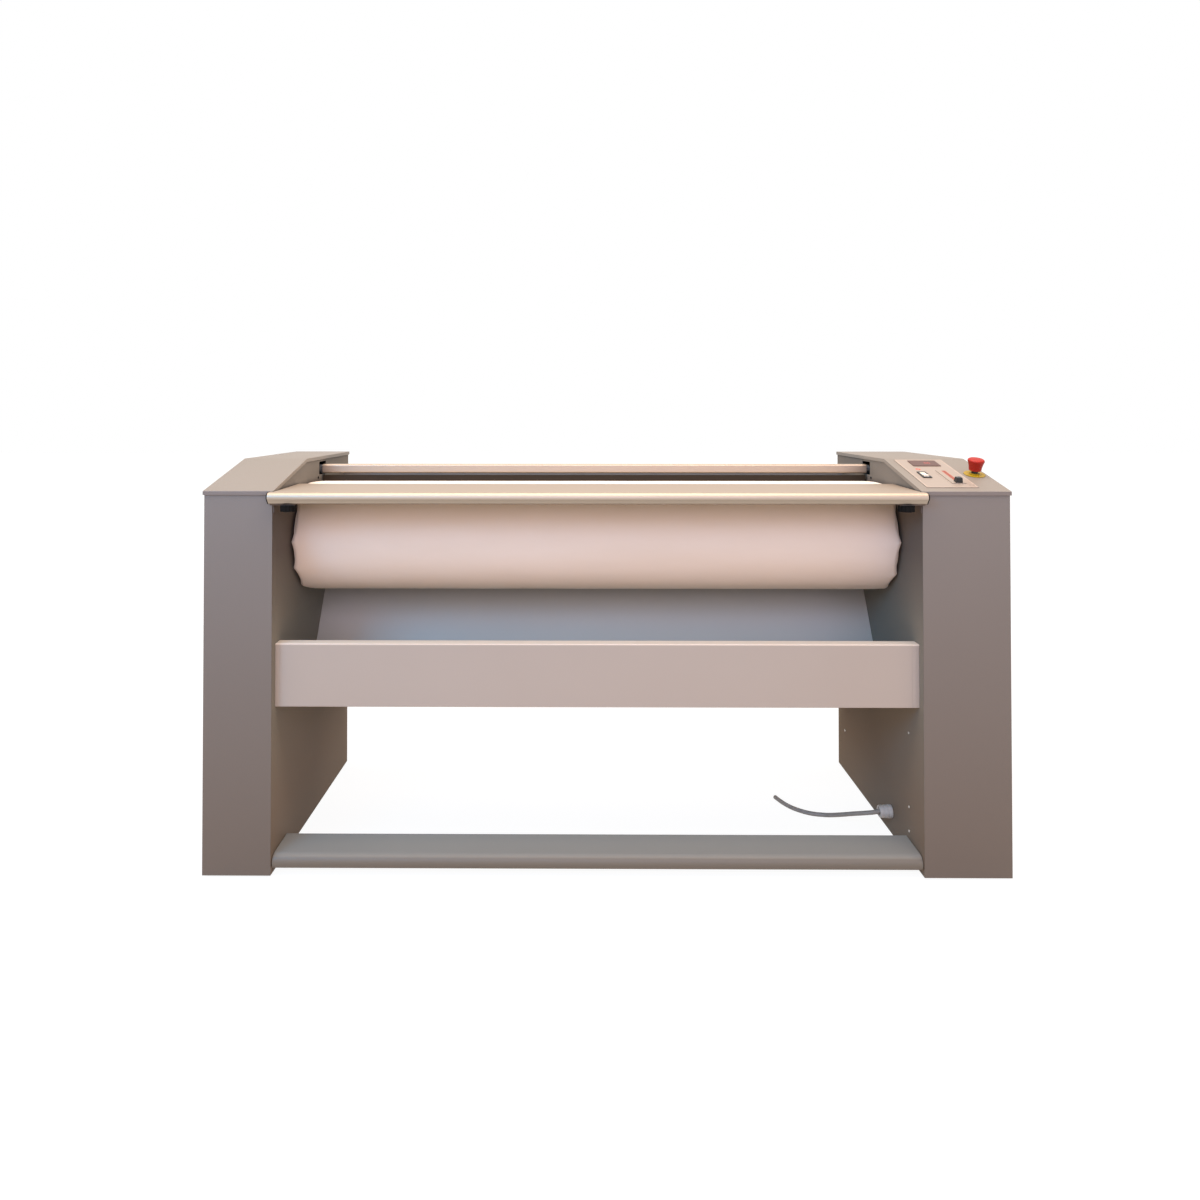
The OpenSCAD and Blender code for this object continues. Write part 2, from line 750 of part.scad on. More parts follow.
guard_end_gap = 2;
guard_wall = 2;
guard_corner_r = 5;
guard_tab_len = 40;
arm_plate_t = 6;
guard_arm_r = 11;
module guard_profile(t) {
    soft_pane(guard_front + t, guard_front + guard_d - t, guard_z + t, guard_z + guard_h - t,
        guard_corner_r - t);
}
module finger_guard() {
    color("#d8c7b7") slab(left_x + guard_end_gap, right_x - guard_end_gap) difference() {
        guard_profile(0);
        guard_profile(guard_wall);
    }
}
module guard_arms() {
    tab_d = guard_front + guard_d / 2;
    tab_z = guard_z + guard_h / 2;
    color("#4a4a4c") for (side = [-1, 1]) {
        rod(out_x(side, -guard_end_gap - guard_tab_len), out_x(side, arm_o + arm_plate_t), tab_d, tab_z,
            guard_h / 2 - guard_wall - seam);
        slab(out_x(side, arm_o), out_x(side, arm_o + arm_plate_t)) difference() {
            hull() {
                dot(tab_d, tab_z, guard_arm_r);
                dot(guard_pivot_d, guard_pivot_z, guard_arm_r);
            }
            dot(guard_pivot_d, guard_pivot_z, guard_pin_r + fit_gap);
        }
    }
}

// Safety switches under the guard's arms
switch_w = 18;
switch_d = 30;
switch_h = 50;
module safety_switches() {
    top = guard_pivot_z - guard_arm_r - 4 * seam;
    front = guard_pivot_d - switch_d / 2;
    color("#2f3336") for (side = [-1, 1])
        block(out_x(side, frame_o - seam - switch_w), out_x(side, frame_o - seam), front,
            front + switch_d, top - switch_h, top);
}

// Feed table

// The table's nose lies under the lids' front edge, and its rear edge over it
table_drop = 2.4;
table_rear_rise = 2.3;
table_top = work_h - table_drop;
table_rear_z = work_h + table_rear_rise;
table_low = table_rear_z - table_rear_t;
table_roll_gap = 12;
table_rear_d = roll_d - sqrt(pow(roll_r + table_roll_gap, 2) - pow(table_low - roll_z, 2));
table_wall = 2.5;
cap_t = 2.5;
table_gap = lid_over + seam;
// In front of the lids the nose is wider than the gap between the walls
nose_over = 3.7;
nose_r = 12;
chin_r = 8.5;
chin_back = 3;
belly_rise = 2;
module table_profile(t) {
    low = table_top - nose_h;
    polygon(concat(
        [for (a = [90:9:198]) at(nose_r - nose_reach + (nose_r - t) * cos(a),
            table_top - nose_r + (nose_r - t) * sin(a))],
        [for (a = [198:12:270]) at(nose_r + chin_back - nose_reach + (chin_r - t) * cos(a),
            low + chin_r + (chin_r - t) * sin(a))],
        [at(nose_reach, low + belly_rise + t), at(table_rear_d - t, table_low + t),
            at(table_rear_d - t, table_rear_z - t)]));
}
// The room beside the table's end, from a place o outwards and between two depths
module table_notch(side, o, d0, d1) {
    slab(out_x(side, o), out_x(side, nose_over + over))
        pane(d0, d1, table_top - nose_h - over, table_rear_z + over);
}
module feed_table() {
    inset = table_gap + cap_t + seam;
    end = nose_over - cap_t - seam;
    color("#dccab9") difference() {
        slab(out_x(-1, end), out_x(1, end)) difference() {
            table_profile(0);
            table_profile(table_wall);
        }
        for (side = [-1, 1]) table_notch(side, -inset, -inset, roll_d);
    }
}
// Each cap closes the wide nose, steps back behind the lid's front and closes the narrower rear
module table_end_caps() {
    back = table_gap + cap_t;
    color("#232325") for (side = [-1, 1]) difference() {
        slab(out_x(side, -back), out_x(side, nose_over)) table_profile(0);
        table_notch(side, -table_gap, -table_gap, roll_d);
        slab(out_x(side, -back - over), out_x(side, nose_over - cap_t))
            pane(-nose_reach - over, -back, table_top - nose_h - over, table_rear_z + over);
    }
}
bracket_leaf_t = 3;
bracket_reach = 62;
bracket_back = 60;
bracket_leaf_h = 24;
knob_d = -8;
knob_in = 44;
knob_h = 15;
knob_stud_r = 4;
knob_margin = 8;
knob_grips = 12;
knob_grip_r = 3;
knob_grip_out = 1.5;
bracket_z = table_top - nose_h - seam;
module table_brackets() {
    color("#9b8f88") for (side = [-1, 1]) difference() {
        union() {
            block(out_x(side, -seam), out_x(side, -bracket_reach), knob_d - knob_margin, bracket_back,
                bracket_z - bracket_leaf_t, bracket_z);
            block(out_x(side, -seam), out_x(side, -seam - bracket_leaf_t), bracket_leaf_t, bracket_back,
                bracket_z - bracket_leaf_h, bracket_z);
        }
        translate([out_x(side, -knob_in), fy(knob_d), bracket_z - 2 * bracket_leaf_t])
            cylinder(r = knob_stud_r + fit_gap, h = 3 * bracket_leaf_t);
    }
}
module table_knob(side) {
    top = bracket_z - bracket_leaf_t - seam;
    color("#1d1d1f") translate([out_x(side, -knob_in), fy(knob_d), 0]) {
        difference() {
            translate([0, 0, top - knob_h]) cylinder(r = table_knob_dia / 2, h = knob_h);
            for (i = [1:knob_grips]) rotate(i * 360 / knob_grips)
                translate([table_knob_dia / 2 + knob_grip_out, 0, top - knob_h - over])
                    cylinder(r = knob_grip_r, h = knob_h + 2 * over);
        }
        translate([0, 0, top - over]) cylinder(r = knob_stud_r, h = bracket_leaf_t + over);
    }
}
module left_table_knob() { table_knob(-1); }
module right_table_knob() { table_knob(1); }

// Tray and chute

beam_lip = 14;
beam_sheet = 2;
module tray_beam() {
    top = beam_z + beam_h;
    back = beam_back + beam_flange;
    color("#bdafa4") slab(left_x + seam, right_x - seam) {
        pane(beam_back, beam_back + beam_sheet, beam_z, top);
        pane(beam_back, back, top - beam_sheet, top);
        pane(back - beam_sheet, back, top - beam_lip, top);
        pane(beam_back, back, beam_z, beam_z + beam_sheet);
    }
}
// The chute is one folded sheet. Its slope faces this angle round the roll's axis
chute_angle = 119.2;
chute_gap = 71;
chute_t = 1.5;
module linen_chute() {
    floor_z = beam_z + beam_sheet + seam;
    front_y0 = fy(beam_back + beam_sheet + seam);
    up = [-cos(chute_angle), sin(chute_angle)];
    inward = [-sin(chute_angle), -cos(chute_angle)];
    top = round_roll(roll_r + chute_gap, chute_angle);
    fold = top - up * (top[1] - floor_z) / up[1];
    inner_fold = fold + chute_t * [-tan((180 - chute_angle) / 2), 1];
    color("#929396") slab(left_x + seam, right_x - seam)
        polygon([[front_y0, floor_z], fold, top, top + chute_t * inward, inner_fold,
            [front_y0, floor_z + chute_t]]);
}

// Foot bar: a folded channel with a round nose, on two pins

foot_gap = 2;
foot_sheet = 2;
foot_tail = 25;
foot_nose_r = 20;
foot_nose_low = 2;
foot_lip_h = 44.5;
foot_lip_back = 35;
foot_lip_w = 7;
foot_belly = 8;
foot_tail_h = 14;
module foot_outline(t) {
    back = foot_pin_d + foot_tail;
    front = back - foot_bar_d;
    nose_z = foot_bar_top - foot_nose_r - foot_nose_low;
    low = foot_bar_top - foot_lip_h;
    belly = foot_pin_z - foot_belly;
    polygon(concat(
        [at(back - t, foot_bar_top - t)],
        [for (a = [92:11:215]) at(front + foot_nose_r + (foot_nose_r - t) * cos(a),
            nose_z + (foot_nose_r - t) * sin(a))],
        [at(front + foot_lip_back, low + t), at(front + foot_lip_back + foot_lip_w, low + t),
            at(foot_pin_d - foot_tail / 2, belly + t), at(foot_pin_d + foot_tail / 2, belly + t),
            at(back - t, foot_bar_top - foot_tail_h)]));
}
module foot_bar() {
    color("#8c8782") {
        slab(left_x + foot_gap, right_x - foot_gap) difference() {
            foot_outline(0);
            foot_outline(foot_sheet);
        }
        for (side = [-1, 1]) {
            slab(out_x(side, -foot_gap), out_x(side, -foot_gap - foot_sheet)) foot_outline(0);
            rod(out_x(side, -foot_gap - foot_sheet), out_x(side, frame_o - seam), foot_pin_d, foot_pin_z,
                foot_pin_r);
        }
    }
}
bush_flange_r = 12;
bush_flange_t = 1.5;
bush_len = 8;
module foot_bar_bushes() {
    color("#d9d6cf") for (side = [-1, 1]) difference() {
        union() {
            rod(out_x(side, -bush_flange_t), out_x(side, -seam / 2), foot_pin_d, foot_pin_z, bush_flange_r);
            rod(out_x(side, -bush_flange_t), out_x(side, bush_len), foot_pin_d, foot_pin_z, bush_r - seam);
        }
        rod(out_x(side, -bush_flange_t - over), out_x(side, bush_len + over), foot_pin_d, foot_pin_z,
            foot_pin_r + fit_gap);
    }
}
spring_r = 9;
spring_len = 14;
module foot_bar_springs() {
    color("#8a8d90") for (side = [-1, 1]) difference() {
        rod(out_x(side, bush_len + seam), out_x(side, bush_len + seam + spring_len), foot_pin_d,
            foot_pin_z, spring_r);
        rod(out_x(side, bush_len), out_x(side, bush_len + 2 * spring_len), foot_pin_d, foot_pin_z,
            foot_pin_r + seam);
    }
}

// Controls on the right lid

// A place on the lid's slope, with Z square to it
module on_lid(x, d) {
    translate([x, fy(d), lid_z(d)]) rotate([lid_angle, 0, 0]) children();
}
module centred(w, l, z0, z1) {
    translate([-w / 2, -l / 2, z0]) cube([w, l, z1 - z0]);
}
plate_t = 1.2;
plate_face = seam + plate_t + seam / 2;
// Places of the controls: inwards from the wall, and behind the housings' front
plate_in = 85;
plate_d = 126.5;
window_in = 89;
window_d = 198.3;
rocker_in = 51.3;
rocker_d = 109;
slider_in = 113.5;
slider_d = 94.5;
estop_in = 186.3;
estop_d = 118;

window_w = 74;
window_len = 45;
window_t = 1.6;
rocker_w = 23;
rocker_len = 45;
rocker_rim = 3;
rocker_rim_h = 2.2;
rocker_wall = 1.2;
rocker_body_h = 24;
rocker_tilt = 12;
rocker_button_drop = 5;
rocker_button_rise = 1.6;
rocker_end_room = 4;
slider_w = 37;
slider_len = 100;
slider_rim_h = 1.4;
slider_wall = 1.5;
slider_slot_w = 8;
slider_slot_room = 11;
slider_slot_len = slider_travel + slider_slot_room;
slider_body_h = 12;
slider_floor = 2;
slider_knob_w = 17;
slider_knob_len = 14;
slider_knob_h = 12.5;
slider_knob_brim = 2;
slider_knob_taper = 1.5;
estop_neck_r = 11;
estop_stem_r = 8;
estop_disc_t = 1.6;
estop_neck_rise = 4;
estop_floor = 3;
estop_rise = 12;
estop_head_h = 32;
estop_socket = 6;

module on_plate() { on_lid(right_x + plate_in, plate_d) children(); }
module on_rocker() { on_lid(right_x + rocker_in, rocker_d) children(); }
module on_slider() { on_lid(right_x + slider_in, slider_d) children(); }
module on_estop() { on_lid(right_x + estop_in, estop_d) children(); }
module rocker_hole() {
    on_rocker() centred(rocker_w - 2 * rocker_rim, rocker_len - 2 * rocker_rim, -lid_lip, 2 * plate_face);
}
module slider_hole() { on_slider() centred(slider_slot_w, slider_slot_len, -lid_lip, 2 * plate_face); }

module control_plate() {
    color("#cfc0b1") difference() {
        on_plate() centred(plate_w, plate_len, seam, seam + plate_t);
        rocker_hole();
        slider_hole();
    }
}
module display_window() {
    color("#3a0f0d") on_lid(right_x + window_in, window_d)
        centred(window_w, window_len, plate_face, plate_face + window_t);
}
module rocker_bezel() {
    w = rocker_w - 2 * rocker_rim - 2 * seam;
    l = rocker_len - 2 * rocker_rim - 2 * seam;
    color("#161617") on_rocker() difference() {
        union() {
            centred(rocker_w, rocker_len, plate_face, plate_face + rocker_rim_h);
            centred(w, l, -rocker_body_h, plate_face + over);
        }
        centred(w - 2 * rocker_wall, l - 2 * rocker_wall, rocker_wall - rocker_body_h,
            plate_face + rocker_rim_h + over);
    }
}
module rocker_button() {
    w = rocker_w - 2 * rocker_rim - 4 * seam - 2 * rocker_wall;
    l = rocker_len - 2 * rocker_rim - 2 * rocker_end_room;
    color("#ece6dc") on_rocker() rotate([-rocker_tilt / 2, 0, 0])
        centred(w, l, -rocker_button_drop, plate_face + rocker_rim_h + rocker_button_rise);
}
module slider_bezel() {
    color("#d8c9ba") on_slider() difference() {
        union() {
            centred(slider_w, slider_len, plate_face, plate_face + slider_rim_h);
            centred(slider_slot_w - 2 * seam, slider_slot_len - 2 * seam, -slider_body_h,
                plate_face + seam);
        }
        centred(slider_slot_w - 2 * slider_wall, slider_slot_len - 2 * slider_wall,
            slider_floor - slider_body_h, plate_face + slider_rim_h + over);
    }
}
module slider_knob() {
    low = plate_face + slider_rim_h + seam;
    stem_len = slider_knob_len / 2;
    color("#151516") on_slider() translate([0, (stem_len - slider_slot_len) / 2 + slider_wall + seam, 0]) {
        hull() {
            centred(slider_knob_w, slider_knob_len, low, low + slider_knob_brim);
            centred(slider_knob_w - 2 * slider_knob_taper, slider_knob_len - 2 * slider_knob_taper, low,
                low + slider_knob_h);
        }
        centred(slider_slot_w - 2 * slider_wall - 2 * seam, stem_len,
            2 * slider_floor - slider_body_h, low + slider_knob_brim);
    }
}
module estop_base() {
    color("#e0b22c") on_estop() difference() {
        union() {
            translate([0, 0, seam]) cylinder(r = estop_disc_dia / 2, h = estop_disc_t);
            translate([0, 0, -rocker_body_h])
                cylinder(r = estop_neck_r, h = rocker_body_h + seam + estop_neck_rise);
        }
        translate([0, 0, estop_floor - rocker_body_h])
            cylinder(r = estop_stem_r + fit_gap, h = 2 * rocker_body_h);
    }
}
module estop_stem() {
    low = estop_floor - rocker_body_h + estop_push + seam;
    color("#2b2b2c") on_estop() translate([0, 0, low])
        cylinder(r = estop_stem_r, h = estop_rise + estop_socket - low);
}
// Half outline of the mushroom head, as shares of its radius and height
head_foot_share = 0.74;
head_waist_share = 0.78;
head_waist_z_share = 0.3;
head_rim_share = 0.24;
head_dome = 1.5;
module estop_head() {
    r = estop_head_dia / 2;
    rim = r * head_rim_share;
    rim_z = estop_head_h - head_dome - rim;
    color("#c8281e") on_estop() translate([0, 0, estop_rise]) rotate_extrude() difference() {
        polygon(concat(
            [[0, 0], [r * head_foot_share, 0], [r * head_waist_share, estop_head_h * head_waist_z_share]],
            [for (a = [-40:13:90]) [r - rim + rim * cos(a), rim_z + rim * sin(a)]],
            [[0, estop_head_h]]));
        square([estop_stem_r + seam, estop_socket + seam]);
    }
}

// Electrical box inside the right housing's front
box_w = 110;
box_d = 60;
box_h = 250;
box_o = 60;
box_drop = 386;
module electrical_box() {
    front = sheet + seam;
    low = work_h - box_drop;
    color("#c9cbcc") block(out_x(1, box_o), out_x(1, box_o + box_w), front, front + box_d,
        low, low + box_h);
}

// Gland and lead

gland_body_r = 17.2;
gland_taper = 0.7;
gland_len = 34;
gland_groove = 1.2;
gland_groove_w = 2;
gland_nut = 8;
gland_mouth = 5.5;
gland_mouth_t = 5;
module cable_gland() {
    color("#c9c6c0") difference() {
        union() {
            rod(out_x(1, gland_nut + wall_t), out_x(1, -gland_len / 2), lead_d, lead_z, gland_r - seam);
            rod(out_x(1, -seam), out_x(1, -gland_len), lead_d, lead_z,
                gland_body_r - 2 * gland_taper - gland_groove);
            for (k = [0:2]) rod(out_x(1, -seam - k * gland_len / 3),
                out_x(1, gland_groove_w * (k < 2 ? 1 : 0) - (k + 1) * gland_len / 3),
                lead_d, lead_z, gland_body_r - k * gland_taper);
        }
        rod(out_x(1, gland_nut + wall_t + over), out_x(1, -gland_len - over), lead_d, lead_z, lead_dia / 2);
        rod(out_x(1, gland_mouth_t - gland_len), out_x(1, -gland_len - over), lead_d, lead_z,
            lead_dia / 2 + gland_mouth);
    }
}
lead_in_gland = 26;
// The lead's route: X, depth and height, from the gland along the floor to its cut end
lead_route = [
    [out_x(1, -lead_in_gland), lead_d, lead_z], [754, 210, 65], [749, 210, 64.2], [741, 210, 62.8],
    [732, 211, 61], [721, 215, 58], [709, 222, 53.5], [695, 233, 47], [681, 247, 38.5],
    [667, 263, 29], [653, 279, 20], [638, 293, 12.5], [622, 304, 8], [605, 311, 6.3],
    [587, 319, 6], [570, 330, 6], [555, 343, 6], [542, 359, 6], [531, 378, 6], [523, 396, 6],
    [517, 412, 6]
];
function unit(v) = v / norm(v);
lead_path = [for (q = lead_route) [q[0], fy(q[1]), q[2]]];
function lead_dir(i) =
    unit(lead_path[min(i + 1, len(lead_path) - 1)] - lead_path[max(i - 1, 0)]);
module supply_lead() {
    sides = 12;
    last = len(lead_path) - 1;
    rings = [for (i = [0:last]) let (t = i == 0 ? [-1, 0, 0] : lead_dir(i),
        u = unit(cross(t, [0, 0, 1])), v = cross(u, t))
        for (k = [0:sides - 1]) let (a = 360 * k / sides)
            lead_path[i] + lead_dia / 2 * (cos(a) * u + sin(a) * v)];
    skin = [for (i = [0:last - 1], k = [0:sides - 1])
        let (a = i * sides + k, b = i * sides + (k + 1) % sides)
        each [[a, b, b + sides], [a, b + sides, a + sides]]];
    caps = [for (k = [1:sides - 2])
        each [[0, k + 1, k], [last * sides, last * sides + k, last * sides + k + 1]]];
    color("#8a8a88") polyhedron(points = rings, faces = concat(skin, caps));
}

module wall_screw(side, d, z) {
    rod(out_x(side, -screw_head_t - seam), out_x(side, -seam), d, z, screw_head_r);
    rod(out_x(side, -screw_head_t), out_x(side, screw_len), d, z, screw_r - fit_gap);
}
module wall_screws() {
    color("#2a2a2b") {
        for (side = [-1, 1]) wall_screw(side, guard_screw_d, guard_screw_z);
        for (s = right_screws) wall_screw(1, s[0], s[1]);
    }
}

left_inner_wall();
right_inner_wall();
left_outer_cover();
right_outer_cover();
left_top_cover();
right_top_cover();
housing_rear_panels();
left_frame();
right_frame();
cross_beams();
rear_cover();
levelling_feet();
roll_drum();
roll_end_plates();
roll_shafts();
roll_padding();
roll_cover();
roll_bearings();
roll_pulley();
motor_pulley();
drive_belt();
gear_motor();
motor_bracket();
heated_chest();
heating_elements();
chest_insulation();
chest_casing();
left_chest_arm();
right_chest_arm();
pivot_pins();
left_closing_rod();
right_closing_rod();
closing_actuators();
finger_guard();
guard_arms();
safety_switches();
feed_table();
table_end_caps();
table_brackets();
left_table_knob();
right_table_knob();
tray_beam();
linen_chute();
foot_bar();
foot_bar_bushes();
foot_bar_springs();
control_plate();
display_window();
rocker_bezel();
rocker_button();
slider_bezel();
slider_knob();
estop_base();
estop_stem();
estop_head();
electrical_box();
cable_gland();
supply_lead();
wall_screws();
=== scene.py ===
# Flatwork ironer: two sheet-steel housings carry a cloth-covered roll, a heated chest behind it,
# a feed table and a finger guard, a linen chute with its tray beam, and a foot bar at the floor.
# Places are metres in the frame: X along the roll, Y to the back, Z up from the floor.
import json
import math

import bmesh
import bpy
from mathutils import Matrix, Vector, noise


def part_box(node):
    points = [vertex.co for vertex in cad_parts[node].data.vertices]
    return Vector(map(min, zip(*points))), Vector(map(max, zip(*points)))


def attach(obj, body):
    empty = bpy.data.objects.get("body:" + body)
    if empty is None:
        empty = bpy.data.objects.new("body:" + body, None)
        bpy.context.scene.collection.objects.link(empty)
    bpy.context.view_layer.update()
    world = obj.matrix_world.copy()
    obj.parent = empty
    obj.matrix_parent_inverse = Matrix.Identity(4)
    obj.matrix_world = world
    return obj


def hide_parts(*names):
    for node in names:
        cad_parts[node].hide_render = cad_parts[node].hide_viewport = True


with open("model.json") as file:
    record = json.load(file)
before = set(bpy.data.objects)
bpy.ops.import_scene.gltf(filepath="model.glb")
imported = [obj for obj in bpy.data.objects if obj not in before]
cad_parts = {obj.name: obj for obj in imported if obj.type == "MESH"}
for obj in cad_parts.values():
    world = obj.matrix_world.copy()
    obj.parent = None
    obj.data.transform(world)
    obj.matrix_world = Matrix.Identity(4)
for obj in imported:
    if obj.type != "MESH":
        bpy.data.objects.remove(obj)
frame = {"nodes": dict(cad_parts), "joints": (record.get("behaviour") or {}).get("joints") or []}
nodes = frame["nodes"]
joints = {joint["name"]: joint for joint in frame["joints"]}
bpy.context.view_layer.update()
bpy.context.scene.view_settings.view_transform = "Standard"

# Camera
# It stands in front of the machine a little above the lids, level but for a trace of tilt, and its
# frame is shifted down, so that the housings' edges stay upright as in the photograph.
camera_data = bpy.data.cameras.new("camera")
camera_data.sensor_width = 36
camera_data.lens = 23.841
camera_data.shift_x = 0.02118
camera_data.shift_y = -0.16442
camera = bpy.data.objects.new("camera", camera_data)
camera.location = (-0.06548, -2.2853, 1.15004)
camera.rotation_euler = (math.pi / 2 + 0.013, 0, 0.0062)
bpy.context.collection.objects.link(camera)
bpy.context.scene.camera = camera

# Supply lead
# A short round mains lead in grey PVC, cut off square. It leaves the gland in the right inner wall,
# drops to the floor and lies there in one slow bend.
front_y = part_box("left_outer_cover")[0].y
lead_diameter = 0.0115
lead_route_mm = [
    (758, 210, 65), (754, 210, 65), (749, 210, 64.2), (741, 210, 62.8),
    (732, 211, 61), (721, 215, 58), (709, 222, 53.5), (695, 233, 47), (681, 247, 38.5),
    (667, 263, 29), (653, 279, 20), (638, 293, 12.5), (622, 304, 8), (605, 311, 6.3),
    (587, 319, 6), (570, 330, 6), (555, 343, 6), (542, 359, 6), (531, 378, 6), (523, 396, 6),
    (517, 412, 6),
]
lead_path = [Vector((x / 1000, front_y + depth / 1000, z / 1000)) for x, depth, z in lead_route_mm]


def tone(code):
    """The linear colour of an sRGB hex value."""
    shares = [int(code[i:i + 2], 16) / 255 for i in (1, 3, 5)]
    return (*[c / 12.92 if c <= 0.04045 else ((c + 0.055) / 1.055) ** 2.4 for c in shares], 1)


def new_material(name):
    """A node material and its main shader."""
    material = bpy.data.materials.new(name)
    material.use_nodes = True
    return material, material.node_tree.nodes["Principled BSDF"]


def add_node(material, kind, settings, links):
    """Adds a node, sets its properties and sockets, and links outputs of other nodes to it."""
    node = material.node_tree.nodes.new("ShaderNode" + kind)
    for name, value in settings.items():
        if isinstance(name, int) or name in node.inputs:
            node.inputs[name].default_value = value
        else:
            setattr(node, name, value)
    for name, output in links.items():
        material.node_tree.links.new(output, node.inputs[name])
    return node


def only(piece):
    """Leaves one piece selected and active, so that an operator acts on nothing else."""
    if bpy.context.object and bpy.context.object.mode != "OBJECT":
        bpy.ops.object.mode_set(mode="OBJECT")
    bpy.ops.object.select_all(action="DESELECT")
    piece.select_set(True)
    bpy.context.view_layer.objects.active = piece


def put(piece, place, turn=(0, 0, 0)):
    """Turns and moves a piece, and leaves its object at the origin with its place in its mesh."""
    piece.location = place
    piece.rotation_euler = turn
    only(piece)
    bpy.ops.object.transform_apply(location=True, rotation=True, scale=True)


def turned(name, profile, sides=48):
    """A round piece about Z, extruded and resized from a disc along its (radius, height) steps."""
    radius, height = profile[0]
    bpy.ops.object.select_all(action="DESELECT")
    bpy.ops.mesh.primitive_circle_add(vertices=sides, radius=radius, fill_type="NGON",
                                      location=(0, 0, height))
    piece = bpy.context.object
    piece.name = piece.data.name = name
    bpy.ops.object.transform_apply(location=True)
    bpy.ops.object.mode_set(mode="EDIT")
    for next_radius, next_height in profile[1:]:
        bpy.ops.mesh.extrude_region_move(
            TRANSFORM_OT_translate={"value": (0, 0, next_height - height)})
        share = next_radius / radius
        bpy.ops.transform.resize(value=(share, share, 1), center_override=(0, 0, next_height))
        radius, height = next_radius, next_height
    bpy.ops.mesh.select_all(action="SELECT")
    bpy.ops.mesh.normals_make_consistent(inside=False)
    bpy.ops.object.mode_set(mode="OBJECT")
    return piece


def smooth(piece, degrees):
    """Shades soft edges smooth, and lets the wide faces keep their own flat shading."""
    only(piece)
    bpy.ops.object.shade_smooth_by_angle(angle=math.radians(degrees))
    bpy.ops.object.modifier_add(type="WEIGHTED_NORMAL")
    piece.modifiers[-1].keep_sharp = True
    bpy.ops.object.modifier_apply(modifier=piece.modifiers[-1].name)


def seat(piece, material, body, slot, *stands_for):
    """Gives a piece its material and its body, and hides the CAD nodes that it stands for. The slot is not
    used.
    """
    piece.data.materials.clear()
    piece.data.materials.append(material)
    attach(piece, body)
    if stands_for:
        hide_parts(*stands_for)
    return piece


def mottled(name, light, dark, patch, roughness, ior=1.5, gloss_level=0.5, relief=None):
    """A finish of two close tones that run into each other in soft patches, given by size and detail.
    Relief is a grain that catches the light, given by strength, depth, size and detail."""
    material, shader = new_material(name)
    where = add_node(material, "TexCoord", {}, {}).outputs["Object"]
    patches = add_node(material, "TexNoise", {"Scale": 1 / patch[0], "Detail": patch[1]}, {"Vector": where})
    tint = add_node(material, "Mix", {"data_type": "RGBA", 6: tone(light), 7: tone(dark)},
                    {0: patches.outputs["Fac"]})
    material.node_tree.links.new(tint.outputs[2], shader.inputs["Base Color"])
    if relief:
        strength, depth, size, detail = relief
        grain = add_node(material, "TexNoise", {"Scale": 1 / size, "Detail": detail}, {"Vector": where})
        bump = add_node(material, "Bump", {"Strength": strength, "Distance": depth},
                        {"Height": grain.outputs["Fac"]})
        material.node_tree.links.new(bump.outputs[0], shader.inputs["Normal"])
    shader.inputs["Roughness"].default_value = roughness
    shader.inputs["IOR"].default_value = ior
    shader.inputs["Specular IOR Level"].default_value = gloss_level
    return material


# Soft PVC, extruded: an even satin grey with a fine grain, and dust on it in patches 18 mm wide.
lead_pvc = mottled("soft_pvc_sheath", "#a8a299", "#8f8980", patch=(0.018, 4), roughness=0.52, ior=1.53,
                   relief=(0.25, 0.0003, 0.0012, 2))

lead_curve = bpy.data.curves.new("supply_lead_sheath", "CURVE")
lead_curve.dimensions = "3D"
lead_curve.bevel_depth = lead_diameter / 2
lead_curve.bevel_resolution = 5
lead_curve.use_fill_caps = True
lead_curve.resolution_u = 6
spline = lead_curve.splines.new("BEZIER")
spline.bezier_points.add(len(lead_path) - 1)
for knot, point in zip(spline.bezier_points, lead_path):
    knot.co = point
    knot.handle_left_type = knot.handle_right_type = "AUTO"
lead = bpy.data.objects.new("supply_lead_sheath", lead_curve)
bpy.context.collection.objects.link(lead)
seat(lead, lead_pvc, "root", "lead_sheath", "supply_lead")

# The cut end shows three insulated copper cores, which stand a little out of the sheath.
core_radius = 0.0019
core_ring = 0.0025
core_out = 0.0022
copper, shader = new_material("cut_copper_core")
where = add_node(copper, "TexCoord", {}, {}).outputs["Object"]
strands = add_node(copper, "TexVoronoi", {"Scale": 1 / 0.0006}, {"Vector": where})
tint = add_node(copper, "Mix", {"data_type": "RGBA", 6: tone("#c88a5c"), 7: tone("#7a4a30")},
                {0: strands.outputs["Distance"]})
copper.node_tree.links.new(tint.outputs[2], shader.inputs["Base Color"])
shader.inputs["Metallic"].default_value = 1
shader.inputs["Roughness"].default_value = 0.4
lead_end = lead_path[-1]
lead_way = (lead_path[-1] - lead_path[-2]).normalized()
core_steps = [(core_radius * 0.6, -0.004), (core_radius, -0.003), (core_radius, core_out - 0.0008),
              (core_radius * 0.62, core_out - 0.0008), (core_radius * 0.6, core_out)]
for k in range(3):
    core = turned("lead_core_%d" % k, core_steps, 16)
    angle = math.tau * k / 3 + 0.5
    way = lead_way.to_track_quat("Z", "Y")
    put(core, lead_end + way @ Vector((core_ring * math.cos(angle), core_ring * math.sin(angle), 0)),
        way.to_euler())
    smooth(core, 40)
    seat(core, copper, "root", "lead_sheath")

